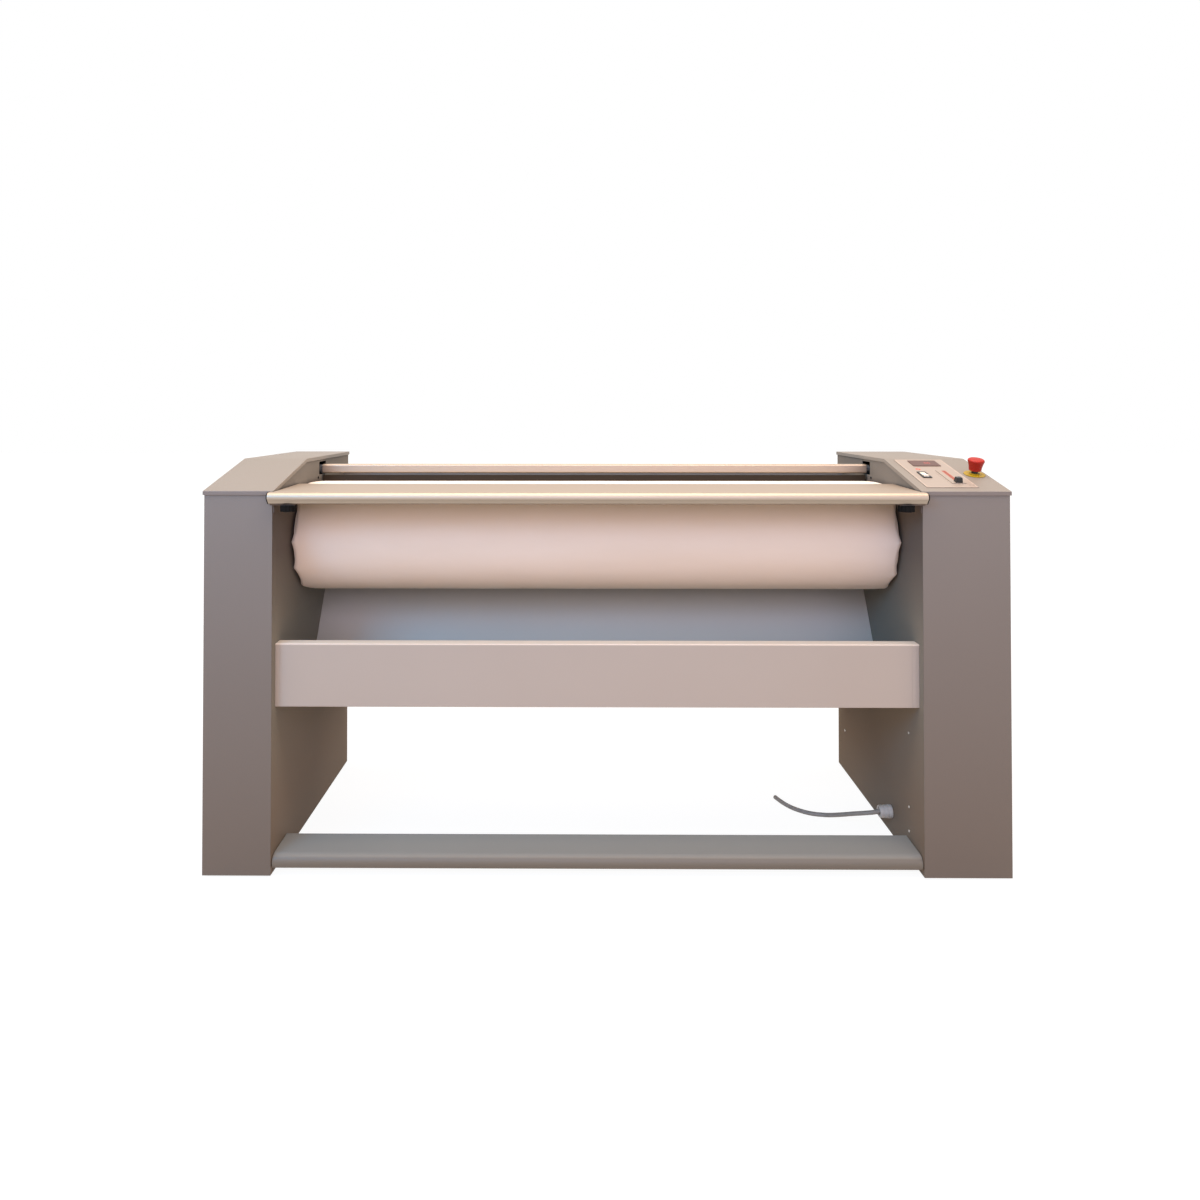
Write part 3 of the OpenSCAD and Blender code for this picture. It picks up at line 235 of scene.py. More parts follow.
# Cable gland
# A moulded nylon gland in light grey: three stout rings that taper a little, with a wide mouth where
# the lead comes out and can bend gently. Its lock nut is inside the housing.
gland_low, gland_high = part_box("cable_gland")
gland_axis = (gland_low + gland_high) / 2
wall_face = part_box("right_inner_wall")[0].x
gland_inside = 0.0103
ring_start = 0.0003
ring_radius = 0.0172
ring_taper = 0.0007
ring_edge = 0.0009
groove_radius = 0.0146
gland_steps = [(0.0110, -0.0095), (0.0117, -0.0090), (0.0117, ring_start)]
ring_count = 3
ring_pitch = (gland_high.x - gland_inside - gland_low.x) / ring_count
for k in range(ring_count):
    start = ring_start + k * ring_pitch
    ring = ring_radius - ring_taper * k
    gland_steps += [(ring - ring_edge, start), (ring, start + ring_edge), (ring, start + ring_pitch * 0.74),
                    (ring - ring_edge, start + ring_pitch * 0.81)]
    if k < ring_count - 1:
        gland_steps += [(groove_radius, start + ring_pitch * 0.84),
                        (groove_radius, start + ring_pitch * 0.97)]
tip = wall_face - gland_low.x - 0.0001
gland_steps += [(0.0148, tip), (0.0121, tip), (0.0113, tip - 0.0008), (0.0111, tip - 0.0047),
                (0.0062, tip - 0.0049), (0.0059, tip - 0.0056)]
nylon = mottled("moulded_grey_nylon", "#dad6cf", "#c9c4bc", patch=(0.004, 3), roughness=0.42, ior=1.53)
gland = turned("cable_gland_ribbed", gland_steps, 40)
put(gland, (wall_face, gland_axis.y, gland_axis.z), (0, -math.pi / 2, 0))
smooth(gland, 35)
seat(gland, nylon, "root", "pale_plastic", "cable_gland")

# Housings
# Each is a folded outer cover, an inner wall with slots for what passes through, a folded lid with
# turned-down lips and a rear panel: 1.5 to 2 mm sheet steel, bent, deburred and powder coated.


def shaped_copy(node, bend=0.0, rim=0.0, wide=0.006, degrees=40):
    """A merged copy of a CAD node: folds between wide faces rounded to bend, cut edges to rim."""
    piece = bpy.data.objects.new(node + "_shaped", nodes[node].data.copy())
    bpy.context.collection.objects.link(piece)
    only(piece)
    bpy.ops.object.mode_set(mode="EDIT")
    bpy.ops.mesh.customdata_custom_splitnormals_clear()
    bpy.ops.mesh.select_mode(type="EDGE")
    bpy.ops.mesh.select_all(action="SELECT")
    bpy.ops.mesh.remove_doubles(threshold=0.00002)
    bpy.ops.mesh.dissolve_limited(angle_limit=math.radians(0.4))
    for size, folds in ((bend, True), (rim, False)):
        if not size:
            continue
        bpy.ops.mesh.select_all(action="DESELECT")
        shape = bmesh.from_edit_mesh(piece.data)
        chosen = 0
        for edge in shape.edges:
            if len(edge.link_faces) != 2 or edge.calc_face_angle_signed() < math.radians(50):
                continue
            if edge.calc_length() < 3 * size:
                continue
            widths = [face.calc_area() / max(e.calc_length() for e in face.edges)
                      for face in edge.link_faces]
            if (min(widths) > wide) == folds and min(widths) > size:
                edge.select_set(True)
                chosen += 1
        bmesh.update_edit_mesh(piece.data)
        if chosen:
            bpy.ops.mesh.bevel(offset=size, segments=3 if folds else 2, profile=0.5, clamp_overlap=True)
    bpy.ops.object.mode_set(mode="OBJECT")
    smooth(piece, degrees)
    return piece


def powder_coat(name, light, dark, roughness, peel_strength, gloss_level=0.5, painted_light_bands=()):
    """Polyester powder coat: a satin film with a fine orange peel and slow drifts of tone. The peel is
    2 mm across, drawn a little coarser than the real 1 mm so that it shows. The height ranges given
    paint light and shade into the coat: each brings the coat to its tone as the height goes from its
    first value to its second."""
    material, shader = new_material(name)
    where = add_node(material, "TexCoord", {}, {}).outputs["Object"]
    drift = add_node(material, "TexNoise", {"Scale": 1 / 0.35, "Detail": 3}, {"Vector": where})
    tint = add_node(material, "Mix", {"data_type": "RGBA", 6: tone(light), 7: tone(dark)},
                    {0: drift.outputs["Fac"]})
    height = add_node(material, "SeparateXYZ", {}, {0: where}).outputs["Z"]
    # Painted light and shade: each height range brings the coat to a given tone.
    for z_from, z_to, painted_tone in painted_light_bands:
        near = add_node(material, "MapRange", {1: z_from, 2: z_to, 3: 0.0, 4: 1.0}, {0: height})
        tint = add_node(material, "Mix", {"data_type": "RGBA", 7: tone(painted_tone)},
                        {0: near.outputs[0], 6: tint.outputs[2]})
    peel = add_node(material, "TexNoise", {"Scale": 1 / 0.002, "Detail": 2}, {"Vector": where})
    gloss = add_node(material, "MapRange", {3: roughness - 0.05, 4: roughness + 0.06},
                     {0: peel.outputs["Fac"]})
    bump = add_node(material, "Bump", {"Strength": peel_strength, "Distance": 0.0004},
                    {"Height": peel.outputs["Fac"]})
    material.node_tree.links.new(tint.outputs[2], shader.inputs["Base Color"])
    material.node_tree.links.new(gloss.outputs[0], shader.inputs["Roughness"])
    material.node_tree.links.new(bump.outputs[0], shader.inputs["Normal"])
    shader.inputs["IOR"].default_value = 1.5
    shader.inputs["Specular IOR Level"].default_value = gloss_level
    return material


# The housings' coat grows darker and warmer from 0.95 m down to 0.05 m: painted shade and painted warm
# light thrown up from the floor.
housing_coat = powder_coat("grey_powder_coat", "#7b7875", "#76726f", roughness=0.48, peel_strength=0.12,
                           painted_light_bands=[(0.95, 0.05, "#685f57")])
# The lids' coat is the housings' grey drawn lighter, as painted light from above; below 0.9575 m, on the
# upright front lip, it goes back to a darker grey near the housings'.
lid_coat_painted_top_light = powder_coat("grey_lid_coat_painted_top_light", "#888077", "#827a70", roughness=0.48, peel_strength=0.12,
                       painted_light_bands=[(0.9575, 0.9545, "#78726f")])
# The inner walls have a flatter coat of the same grey with painted shade and light in it: darker from 0.62
# m up beside the roll and under the table, less dark again above 0.955 m, and warmer from 0.45 m down for
# the light thrown up from the floor.
shaded_wall_coat = powder_coat("flat_grey_wall_coat_painted_shade", "#868279", "#7f7b71", roughness=0.68, peel_strength=0.12,
                        gloss_level=0.28, painted_light_bands=[(0.62, 0.80, "#665f59"), (0.45, 0.15, "#7f7163"),
                                                 (0.955, 0.965, "#77716a")])
for side in ("left", "right"):
    seat(shaped_copy(side + "_outer_cover", bend=0.0013, rim=0.0004), housing_coat, "root", "housing_paint",
         side + "_outer_cover")
    seat(shaped_copy(side + "_inner_wall", rim=0.0005), shaded_wall_coat, "root", "wall_paint",
         side + "_inner_wall")
    seat(shaped_copy(side + "_top_cover", bend=0.0013, rim=0.0004), lid_coat_painted_top_light, "root", "lid_paint",
         side + "_top_cover")
seat(shaped_copy("housing_rear_panels", rim=0.0004), housing_coat, "root", "housing_paint",
     "housing_rear_panels")
seat(shaped_copy("rear_cover", bend=0.0012, rim=0.0004), housing_coat, "root", "housing_paint",
     "rear_cover")

# Frames, cross tubes and feet
# Welded plate and tube in grey primer inside the housings, two square tubes between them, and eight
# levelling feet with black rubber pads.
primer = mottled("grey_primer_on_steel", "#6a6d70", "#565a5d", patch=(0.06, 5), roughness=0.62,
                 relief=(0.2, 0.0003, 0.0025, 2))


def finish_node(material, *names):
    """Gives CAD nodes that keep their own shape a material."""
    for name in names:
        nodes[name].data.materials.clear()
        nodes[name].data.materials.append(material)


finish_node(primer, "left_frame", "right_frame", "motor_bracket", "roll_end_plates",
            "left_chest_arm", "right_chest_arm")
seat(shaped_copy("cross_beams", bend=0.0025, rim=0.0005), primer, "root", "frame_steel", "cross_beams")
seat(shaped_copy("guard_arms", bend=0.0008, rim=0.0005), primer, "guard", "frame_steel", "guard_arms")
rubber = mottled("black_rubber", "#2b2b2c", "#3a3a3a", patch=(0.012, 4), roughness=0.75)
seat(shaped_copy("levelling_feet", rim=0.0006, degrees=30), rubber, "root", "foot_rubber",
     "levelling_feet")
finish_node(rubber, "drive_belt")

# Roll core and drive
# A rolled steel drum with turned shaft ends runs in two cast flange bearings, and a gear motor turns
# it by a belt. All of it is closed in by the cover and the housings.


def turned_steel(name, colour, roughness, ring_mm):
    """Bare steel, turned or drawn: the tool leaves fine rings square to the X axis."""
    material, shader = new_material(name)
    where = add_node(material, "TexCoord", {}, {}).outputs["Object"]
    along = add_node(material, "Mapping", {"Scale": (1000 / ring_mm, 20, 20)}, {"Vector": where})
    rings = add_node(material, "TexNoise", {"Scale": 1, "Detail": 2}, {"Vector": along.outputs[0]})
    gloss = add_node(material, "MapRange", {3: roughness - 0.08, 4: roughness + 0.1},
                     {0: rings.outputs["Fac"]})
    bump = add_node(material, "Bump", {"Strength": 0.1, "Distance": 0.0002},
                    {"Height": rings.outputs["Fac"]})
    shader.inputs["Base Color"].default_value = tone(colour)
    shader.inputs["Metallic"].default_value = 1
    material.node_tree.links.new(gloss.outputs[0], shader.inputs["Roughness"])
    material.node_tree.links.new(bump.outputs[0], shader.inputs["Normal"])
    return material


bright_steel = turned_steel("turned_bright_steel", "#b8b9ba", roughness=0.34, ring_mm=1.5)
finish_node(bright_steel, "roll_drum", "roll_shafts", "pivot_pins", "foot_bar_springs",
            "left_closing_rod", "right_closing_rod")
casting = mottled("enamelled_cast_iron", "#50606c", "#43515c", patch=(0.004, 4), roughness=0.45,
                  relief=(0.4, 0.0006, 0.004, 4))
finish_node(casting, "roll_bearings", "roll_pulley", "motor_pulley", "gear_motor", "closing_actuators")

# Roll padding and cover
# Resilient needled felt is wound on the drum, and a stout cotton cover is stretched over it. The
# cover's ends are turned in over the rounded felt and gathered by a tape, which leaves soft pleats.
roll_low, roll_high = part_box("roll_cover")
roll_y = (roll_low.y + roll_high.y) / 2
roll_z = (roll_low.z + roll_high.z) / 2
roll_radius = (roll_high.z - roll_low.z) / 2
cover_thickness = 0.0016
end_round = 0.016
end_slack = 0.0035
tape_radius = 0.100
pleat_reach = 0.036
facet_share = 0.4
ridge_flare = 0.0035
ridge_square = 0.002
slack_depth = 0.0004
ridge_degrees = {-1: (0, 44, 80, 117, 153, 191, 228, 264, 299, 330),
                 1: (0, 42, 77, 114, 151, 187, 222, 257, 291, 322)}


def facet(side, angle):
    """The gathers pull the cloth into flat facets: 0 at a ridge, 1 in a facet's middle, and its depth."""
    ridges = [math.radians(degrees) for degrees in ridge_degrees[side]] + [math.tau]
    for a, b in zip(ridges, ridges[1:]):
        if a <= angle < b:
            return 1 - (2 * (angle - a) / (b - a) - 1) ** 2, roll_radius * (1 - math.cos((b - a) / 2))
    return 0.0, 0.0


def roll_skin(name, length_inset, shrink, round_radius, inner_radius, cloth):
    """A skin of revolution round the roll, with turned-in ends. Cloth has pleats and a little slack."""
    start = roll_low.x + length_inset
    end = roll_high.x - length_inset
    radius = roll_radius - shrink
    centre = radius - round_radius
    face_rows = 7
    round_rows = 12
    barrel_rows = 30
    sides = 288
    steps_in = (0.012, 0.03, 0.055, 0.09)
    near_end = [(start, inner_radius + (centre - inner_radius) * k / face_rows, (-1, 0))
                for k in range(face_rows)]
    for k in range(round_rows + 1):
        across, up = math.cos(math.pi / 2 * k / round_rows), math.sin(math.pi / 2 * k / round_rows)
        near_end.append((start + round_radius * (1 - across), centre + round_radius * up, (-across, up)))
    near_end += [(start + round_radius + step, radius, (0, 1)) for step in steps_in]
    first, last = near_end[-1][0], start + end - near_end[-1][0]
    barrel = [(first + (last - first) * k / barrel_rows, radius, (0, 1)) for k in range(1, barrel_rows)]
    far_end = [(start + end - x, r, (-nx, nr)) for x, r, (nx, nr) in reversed(near_end)]
    meridian = near_end + barrel + far_end
    verts = []
    run = 0.0
    uv_v = []
    for row, (x, r, way) in enumerate(meridian):
        if row:
            run += math.hypot(x - meridian[row - 1][0], r - meridian[row - 1][1])
        uv_v.append(run)
        to_end = min(x - start, end - x)
        side = -1 if x - start < end - x else 1
        fade = max(0.0, 1 - to_end / pleat_reach)
        fade = fade * fade * (3 - 2 * fade)
        for k in range(sides):
            angle = math.tau * k / sides
            drop = flare = 0.0
            if cloth:
                middle, depth = facet(side, angle)
                square = 2 * abs(way[0] * way[1])
                drop = facet_share * fade * middle * depth - ridge_square * (1 - middle) * square
                flare = ridge_flare * (1 - middle) * min(1.0, (r - inner_radius) / (centre - inner_radius))
                slack = noise.noise(Vector((x * 7, 3 * math.cos(angle), 3 * math.sin(angle))))
                drop += slack_depth * (1 + slack)
            px = x - way[0] * (drop - flare)
            pr = r - way[1] * drop
            verts.append((px, roll_y - pr * math.cos(angle), roll_z + pr * math.sin(angle)))
    rows = len(meridian)
    faces = [(row * sides + k, (row + 1) * sides + k, (row + 1) * sides + (k + 1) % sides,
              row * sides + (k + 1) % sides) for row in range(rows - 1) for k in range(sides)]
    mesh = bpy.data.meshes.new(name)
    mesh.from_pydata(verts, [], faces)
    wrap = mesh.uv_layers.new(name="cloth")
    for face in mesh.polygons:
        for corner, place in zip(face.loop_indices, face.vertices):
            row, k = divmod(place, sides)
            if k == 0 and face.vertices[0] % sides == sides - 1:
                k = sides
            wrap.data[corner].uv = (math.tau * roll_radius * k / sides, uv_v[row])
    piece = bpy.data.objects.new(name, mesh)
    bpy.context.collection.objects.link(piece)
    only(piece)
    bpy.ops.object.mode_set(mode="EDIT")
    bpy.ops.mesh.select_all(action="SELECT")
    bpy.ops.mesh.normals_make_consistent(inside=False)
    bpy.ops.object.mode_set(mode="OBJECT")
    return piece


def thicken(piece, thickness, offset=-1):
    """Gives a skin its thickness: inwards from the face that it has, or half to each side at offset 0."""
    only(piece)
    bpy.ops.object.modifier_add(type="SOLIDIFY")
    wall = piece.modifiers[-1]
    wall.thickness = thickness
    wall.offset = offset
    wall.use_rim = True
    bpy.ops.object.modifier_apply(modifier=wall.name)


# Plain-woven cotton duck, washed and pressed: matt and warm white, with a soft fuzz at grazing angles.
# Its threads lie 0.8 mm apart, drawn at 1.6 mm so that they show close up. At scale 1 a wave
# pattern repeats every 0.314 m.
thread_pitch = 0.0016
wave_repeat = 0.314
duck, shader = new_material("cotton_duck")
cloth_uv = add_node(duck, "UVMap", {"uv_map": "cloth"}, {}).outputs[0]
weft, warp = [add_node(duck, "TexWave", {"bands_direction": way, "Scale": wave_repeat / thread_pitch,
                                         "Distortion": 0.6, "Detail": 1}, {"Vector": cloth_uv})
              for way in "XY"]
weave = add_node(duck, "Math", {"operation": "MAXIMUM"}, {0: weft.outputs["Fac"], 1: warp.outputs["Fac"]})
where = add_node(duck, "TexCoord", {}, {}).outputs["Object"]
stretch = add_node(duck, "Mapping", {"Scale": (2.2, 9, 9)}, {"Vector": where})
wash = add_node(duck, "TexNoise", {"Scale": 1, "Detail": 4, "Roughness": 0.6},
                {"Vector": stretch.outputs[0]})
tint = add_node(duck, "Mix", {"data_type": "RGBA", 6: tone("#ebe3d8"), 7: tone("#e0d6c8")},
                {0: wash.outputs["Fac"]})
bump = add_node(duck, "Bump", {"Strength": 0.18, "Distance": 0.0003}, {"Height": weave.outputs[0]})
duck.node_tree.links.new(tint.outputs[2], shader.inputs["Base Color"])
duck.node_tree.links.new(bump.outputs[0], shader.inputs["Normal"])
shader.inputs["Roughness"].default_value = 0.92
shader.inputs["Sheen Weight"].default_value = 0.12
shader.inputs["Sheen Roughness"].default_value = 0.5
shader.inputs["Specular IOR Level"].default_value = 0.25

cover = roll_skin("roll_cover_cloth", -end_slack, 0.0002, end_round, tape_radius, True)
thicken(cover, cover_thickness)
smooth(cover, 60)
seat(cover, duck, "roll", "roll_cotton", "roll_cover")
cloth_run = (roll_high.x - roll_low.x) - (4 - math.pi) * end_round
cloth_run += 2 * (end_slack + roll_radius - tape_radius)

felt_inset = 0.009
felt_depth = 0.0030
felt_thickness = 0.0115
felt_inner_radius = 0.1345
felt_round = 0.020
felt = mottled("needled_felt", "#e8e2d6", "#cfc6b6", patch=(0.0018, 4), roughness=0.95,
               relief=(0.5, 0.0008, 0.0018, 4))
padding = roll_skin("roll_padding_felt", felt_inset, felt_depth, felt_round, felt_inner_radius, False)
thicken(padding, felt_thickness)
smooth(padding, 50)
seat(padding, felt, "roll", "roll_cotton", "roll_padding")

# Heated chest
# A polished steel shoe that the roll runs in, with rod heaters clamped to its back, a wool blanket
# over them and a casing in black heat-resistant enamel, whose darkness also paints the shade in the
# gap under the guard. It swings on arms about pins low down.
shoe_steel = turned_steel("polished_shoe_steel", "#c6c7c8", roughness=0.2, ring_mm=2.0)
seat(shaped_copy("heated_chest", rim=0.0008, degrees=30), shoe_steel, "chest", "chest_steel",
     "heated_chest")
finish_node(bright_steel, "heating_elements")
# The casing's near-black enamel also stands in for the shade in the gap under the guard.
casing_coat_and_shade = powder_coat("black_enamel_and_painted_shade", "#33281c", "#2b2218", roughness=0.6, peel_strength=0.1,
                          gloss_level=0.2)
seat(shaped_copy("chest_casing", bend=0.0010, rim=0.0004, degrees=30), casing_coat_and_shade, "chest", "casing_paint",
     "chest_casing")

blanket_radius = 0.1795
blanket_thickness = 0.0150
blanket_angles = (math.radians(44), math.radians(151))
edge_room = 0.002
tuft_depth = 0.003
tufts_along = 12
tufts_across = 4
wool_low, wool_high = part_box("chest_insulation")
wool_run = wool_high.x - wool_low.x - 2 * edge_room
pivot = Vector(joints["chest_swing"]["pos_m"])
swung = Matrix.Rotation(-math.radians(joints["chest_swing"]["range_deg"][1]), 3, "X")
bpy.ops.object.select_all(action="DESELECT")
bpy.ops.mesh.primitive_grid_add(x_subdivisions=90, y_subdivisions=28, size=1)
blanket = bpy.context.object
blanket.name = blanket.data.name = "chest_blanket"
for vertex in blanket.data.vertices:
    along, across = vertex.co.x + 0.5, vertex.co.y + 0.5
    angle = blanket_angles[0] + (blanket_angles[1] - blanket_angles[0]) * across
    tuft = abs(math.sin(along * math.pi * tufts_along)) * abs(math.sin(across * math.pi * tufts_across))
    radius = blanket_radius - tuft_depth + tuft_depth * tuft ** 0.5
    radius += 0.0006 * noise.noise(Vector((along * 40, across * 12, 0)))
    place = Vector((wool_low.x + edge_room + wool_run * along,
                    roll_y + radius * math.sin(angle), roll_z + radius * math.cos(angle)))
    vertex.co = pivot + swung @ (place - pivot)
only(blanket)
bpy.ops.object.mode_set(mode="EDIT")
bpy.ops.mesh.select_all(action="SELECT")
bpy.ops.mesh.normals_make_consistent(inside=False)
bpy.ops.object.mode_set(mode="OBJECT")
thicken(blanket, blanket_thickness, 0)
smooth(blanket, 60)
wool = mottled("pressed_mineral_wool", "#d9c88a", "#b7a266", patch=(0.003, 5), roughness=0.95,
               relief=(0.6, 0.001, 0.003, 5))
seat(blanket, wool, "chest", "insulation_wool", "chest_insulation")

# Feed table and finger guard
# Both are drawn aluminium extrusions with a satin anodised skin: the table a flat box with a round
# nose and black end caps, the guard a square bar whose ends pass into the walls' slots.


def anodised(name, colour, roughness):
    """Satin anodised aluminium: the die leaves faint lines along X, 3 mm apart here so that they show."""
    material, shader = new_material(name)
    where = add_node(material, "TexCoord", {}, {}).outputs["Object"]
    along = add_node(material, "Mapping", {"Scale": (0.25, 1 / 0.003, 1 / 0.003)}, {"Vector": where})
    lines = add_node(material, "TexNoise", {"Scale": 1, "Detail": 3}, {"Vector": along.outputs[0]})
    gloss = add_node(material, "MapRange", {3: roughness - 0.06, 4: roughness + 0.08},
                     {0: lines.outputs["Fac"]})
    bump = add_node(material, "Bump", {"Strength": 0.03, "Distance": 0.0002},
                    {"Height": lines.outputs["Fac"]})
    shader.inputs["Base Color"].default_value = tone(colour)
    shader.inputs["Metallic"].default_value = 1
    material.node_tree.links.new(gloss.outputs[0], shader.inputs["Roughness"])
    material.node_tree.links.new(bump.outputs[0], shader.inputs["Normal"])
    return material


aluminium = anodised("satin_anodised_aluminium", "#b7a694", 0.5)
seat(shaped_copy("feed_table", degrees=25), aluminium, "root", "satin_aluminium", "feed_table")
seat(shaped_copy("finger_guard", degrees=25), aluminium, "guard", "satin_aluminium",
     "finger_guard")


def moulded(name, light, dark, roughness, grain_size, gloss_level=0.5):
    """Injection-moulded plastic with the fine grain of an eroded mould."""
    return mottled(name, light, dark, patch=(grain_size, 2), roughness=roughness, ior=1.52,
                   gloss_level=gloss_level, relief=(0.2, 0.0002, grain_size, 2))


black_nylon = moulded("black_nylon", "#100f0e", "#161514", roughness=0.6, grain_size=0.0011,
                      gloss_level=0.08)
seat(shaped_copy("table_end_caps", rim=0.0005, degrees=25), black_nylon, "root", "black_plastic",
     "table_end_caps")
# The table brackets take the inner walls' coat, with its painted shade.
seat(shaped_copy("table_brackets", rim=0.0005), shaded_wall_coat, "root", "wall_paint", "table_brackets")
for side in ("left", "right"):
    seat(shaped_copy(side + "_table_knob", rim=0.0006, degrees=30), black_nylon, side + "_table_knob",
         "black_plastic", side + "_table_knob")
finish_node(black_nylon, "safety_switches")

# Tray beam, chute and foot bar
# Folded steel sheet between the housings: a light beam in front of the tray, a grey-blue chute that
# leads the linen down to it, and a pressed foot bar that swings on two pins in nylon bushes.
beam = shaped_copy("tray_beam", bend=0.0016, rim=0.0005)
beam_low, beam_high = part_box("tray_beam")
# The beam's coat is lighter over its top 4 mm: a painted highlight on the top fold.
beam_coat = powder_coat("light_powder_coat", "#ada7a0", "#a7a098", roughness=0.42, peel_strength=0.08,
                        painted_light_bands=[(beam_high.z - 0.004, beam_high.z - 0.001, "#e4dbce")])
crease_width = 0.0014
crease_depth = 0.0006
crease_from_left = 0.0107
crease_from_right = 0.0187
only(beam)
bpy.ops.object.mode_set(mode="EDIT")
for crease_x in (beam_low.x + crease_from_left, beam_high.x - crease_from_right):
    for cut in (crease_x, crease_x + crease_width):
        bpy.ops.mesh.select_all(action="SELECT")
        bpy.ops.mesh.bisect(plane_co=(cut, 0, 0), plane_no=(1, 0, 0))
    bpy.ops.mesh.select_mode(type="FACE")
    bpy.ops.mesh.select_all(action="DESELECT")
    shape = bmesh.from_edit_mesh(beam.data)
    for face in shape.faces:
        middle = face.calc_center_median()
        if abs(middle.x - crease_x - crease_width / 2) < crease_width / 2 and face.normal.y < -0.9:
            if middle.y < beam_low.y + 0.001:
                face.select_set(True)
    bmesh.update_edit_mesh(beam.data)
    bpy.ops.mesh.extrude_region_move(TRANSFORM_OT_translate={"value": (0, crease_depth, 0)})
bpy.ops.object.mode_set(mode="OBJECT")
smooth(beam, 40)
seat(beam, beam_coat, "root", "lid_paint", "tray_beam")
chute_coat = powder_coat("blue_grey_powder_coat", "#cac7bd", "#c3c0b6", roughness=0.45, peel_strength=0.08)
seat(shaped_copy("linen_chute", rim=0.0004), chute_coat, "root", "chute_paint", "linen_chute")
# The foot bar's coat grows darker and warmer from 0.0548 m down to 0.046 m, over its nose and lower face:
# painted shade.
foot_coat = powder_coat("foot_bar_powder_coat", "#969a98", "#919492", roughness=0.45, peel_strength=0.1,
                        painted_light_bands=[(0.0548, 0.046, "#6e685e")])
seat(shaped_copy("foot_bar", rim=0.0004, degrees=25), foot_coat, "foot_bar", "foot_bar_paint",
     "foot_bar")
finish_node(nylon, "foot_bar_bushes", "electrical_box")

# Controls
# A printed film plate on the right lid's slope carries a display window, a rocker switch and a slide
# regulator, and beside it stands a latching emergency stop on its yellow disc.
lid_angle = math.atan2(joints["slider_move"]["axis"][2], joints["slider_move"]["axis"][1])
lid_way = Vector((0, math.cos(lid_angle), math.sin(lid_angle)))
lid_up = Vector((0, -math.sin(lid_angle), math.cos(lid_angle)))
slope = (lid_angle, 0, 0)
lid_front_z = 0.957
film = moulded("printed_satin_film", "#a09488", "#9a8d81", roughness=0.4, grain_size=0.0015)
seat(shaped_copy("control_plate", rim=0.0003), film, "root", "panel_film", "control_plate")
seat(shaped_copy("slider_bezel", rim=0.0003), film, "root", "panel_film", "slider_bezel")


def on_lid(x, depth, height):
    """A place over the lid's slope: along X, behind the front and square to the slope."""
    return Vector((x, front_y + depth, lid_front_z + depth * math.tan(lid_angle))) + lid_up * height


def raised(name, width, length, thickness, corner, place, turn, border=0):
    """A flat piece with round corners, or with a border only a frame of that width."""
    bpy.ops.object.select_all(action="DESELECT")
    bpy.ops.mesh.primitive_plane_add(size=1)
    piece = bpy.context.object
    piece.name = piece.data.name = name
    piece.scale = (width, length, 1)
    bpy.ops.object.transform_apply(scale=True)
    bpy.ops.object.mode_set(mode="EDIT")
    bpy.ops.mesh.select_all(action="SELECT")
    bpy.ops.mesh.bevel(offset=corner, segments=3, affect="VERTICES")
    if border:
        bpy.ops.mesh.inset(thickness=border)
        bpy.ops.mesh.delete(type="FACE")
        bpy.ops.mesh.select_all(action="SELECT")
    bpy.ops.mesh.extrude_region_move(TRANSFORM_OT_translate={"value": (0, 0, thickness)})
    bpy.ops.mesh.select_all(action="SELECT")
    bpy.ops.mesh.normals_make_consistent(inside=False)
    bpy.ops.object.mode_set(mode="OBJECT")
    put(piece, place, turn)
    return piece


def joined(name, pieces):
    """One piece out of several like ones."""
    only(pieces[0])
    for piece in pieces[1:]:
        piece.select_set(True)
    if len(pieces) > 1:
        bpy.ops.object.join()
    pieces[0].name = pieces[0].data.name = name
    return pieces[0]


# The prints on the film are 0.1 mm of ink: a pale border, a red mark over the switch, a short scale
# beside the slide regulator and two small dots.
plate_top = 0.0015
plate_face = 0.00165
ink = 0.0001
pale_ink = moulded("pale_screen_ink", "#c6b4a4", "#bfac9c", roughness=0.5, grain_size=0.002)
border = raised("plate_border", width=0.1255, length=0.2135, thickness=ink, corner=0.003,
                place=on_lid(0.869, 0.1265, plate_top), turn=slope, border=0.0012)
seat(border, pale_ink, "root", "panel_film")
red_ink = moulded("red_screen_ink", "#c8523f", "#be4736", roughness=0.5, grain_size=0.002)
mark = raised("switch_mark", width=0.013, length=0.013, thickness=ink, corner=0.0062,
              place=on_lid(0.838, 0.154, plate_top), turn=slope, border=0.0032)
seat(mark, red_ink, "root", "panel_film")
dark_ink = moulded("dark_screen_ink", "#5a4e48", "#4c423d", roughness=0.5, grain_size=0.002)
tick_pitch = 0.0122
ticks = [raised("scale_tick_%d" % k, width=0.0022 + 0.0008 * k, length=0.0007, thickness=ink,
                corner=0.0002, place=on_lid(0.8755 - 0.0004 * k, 0.064 + tick_pitch * k, plate_top),
                turn=slope) for k in range(6)]
ticks += [raised("plate_dot_%d" % k, width=0.003, length=0.003, thickness=ink, corner=0.0013,
                 place=on_lid(x, 0.0376, plate_top), turn=slope) for k, x in enumerate((0.919, 0.929))]
seat(joined("plate_scale", ticks), dark_ink, "root", "panel_film")

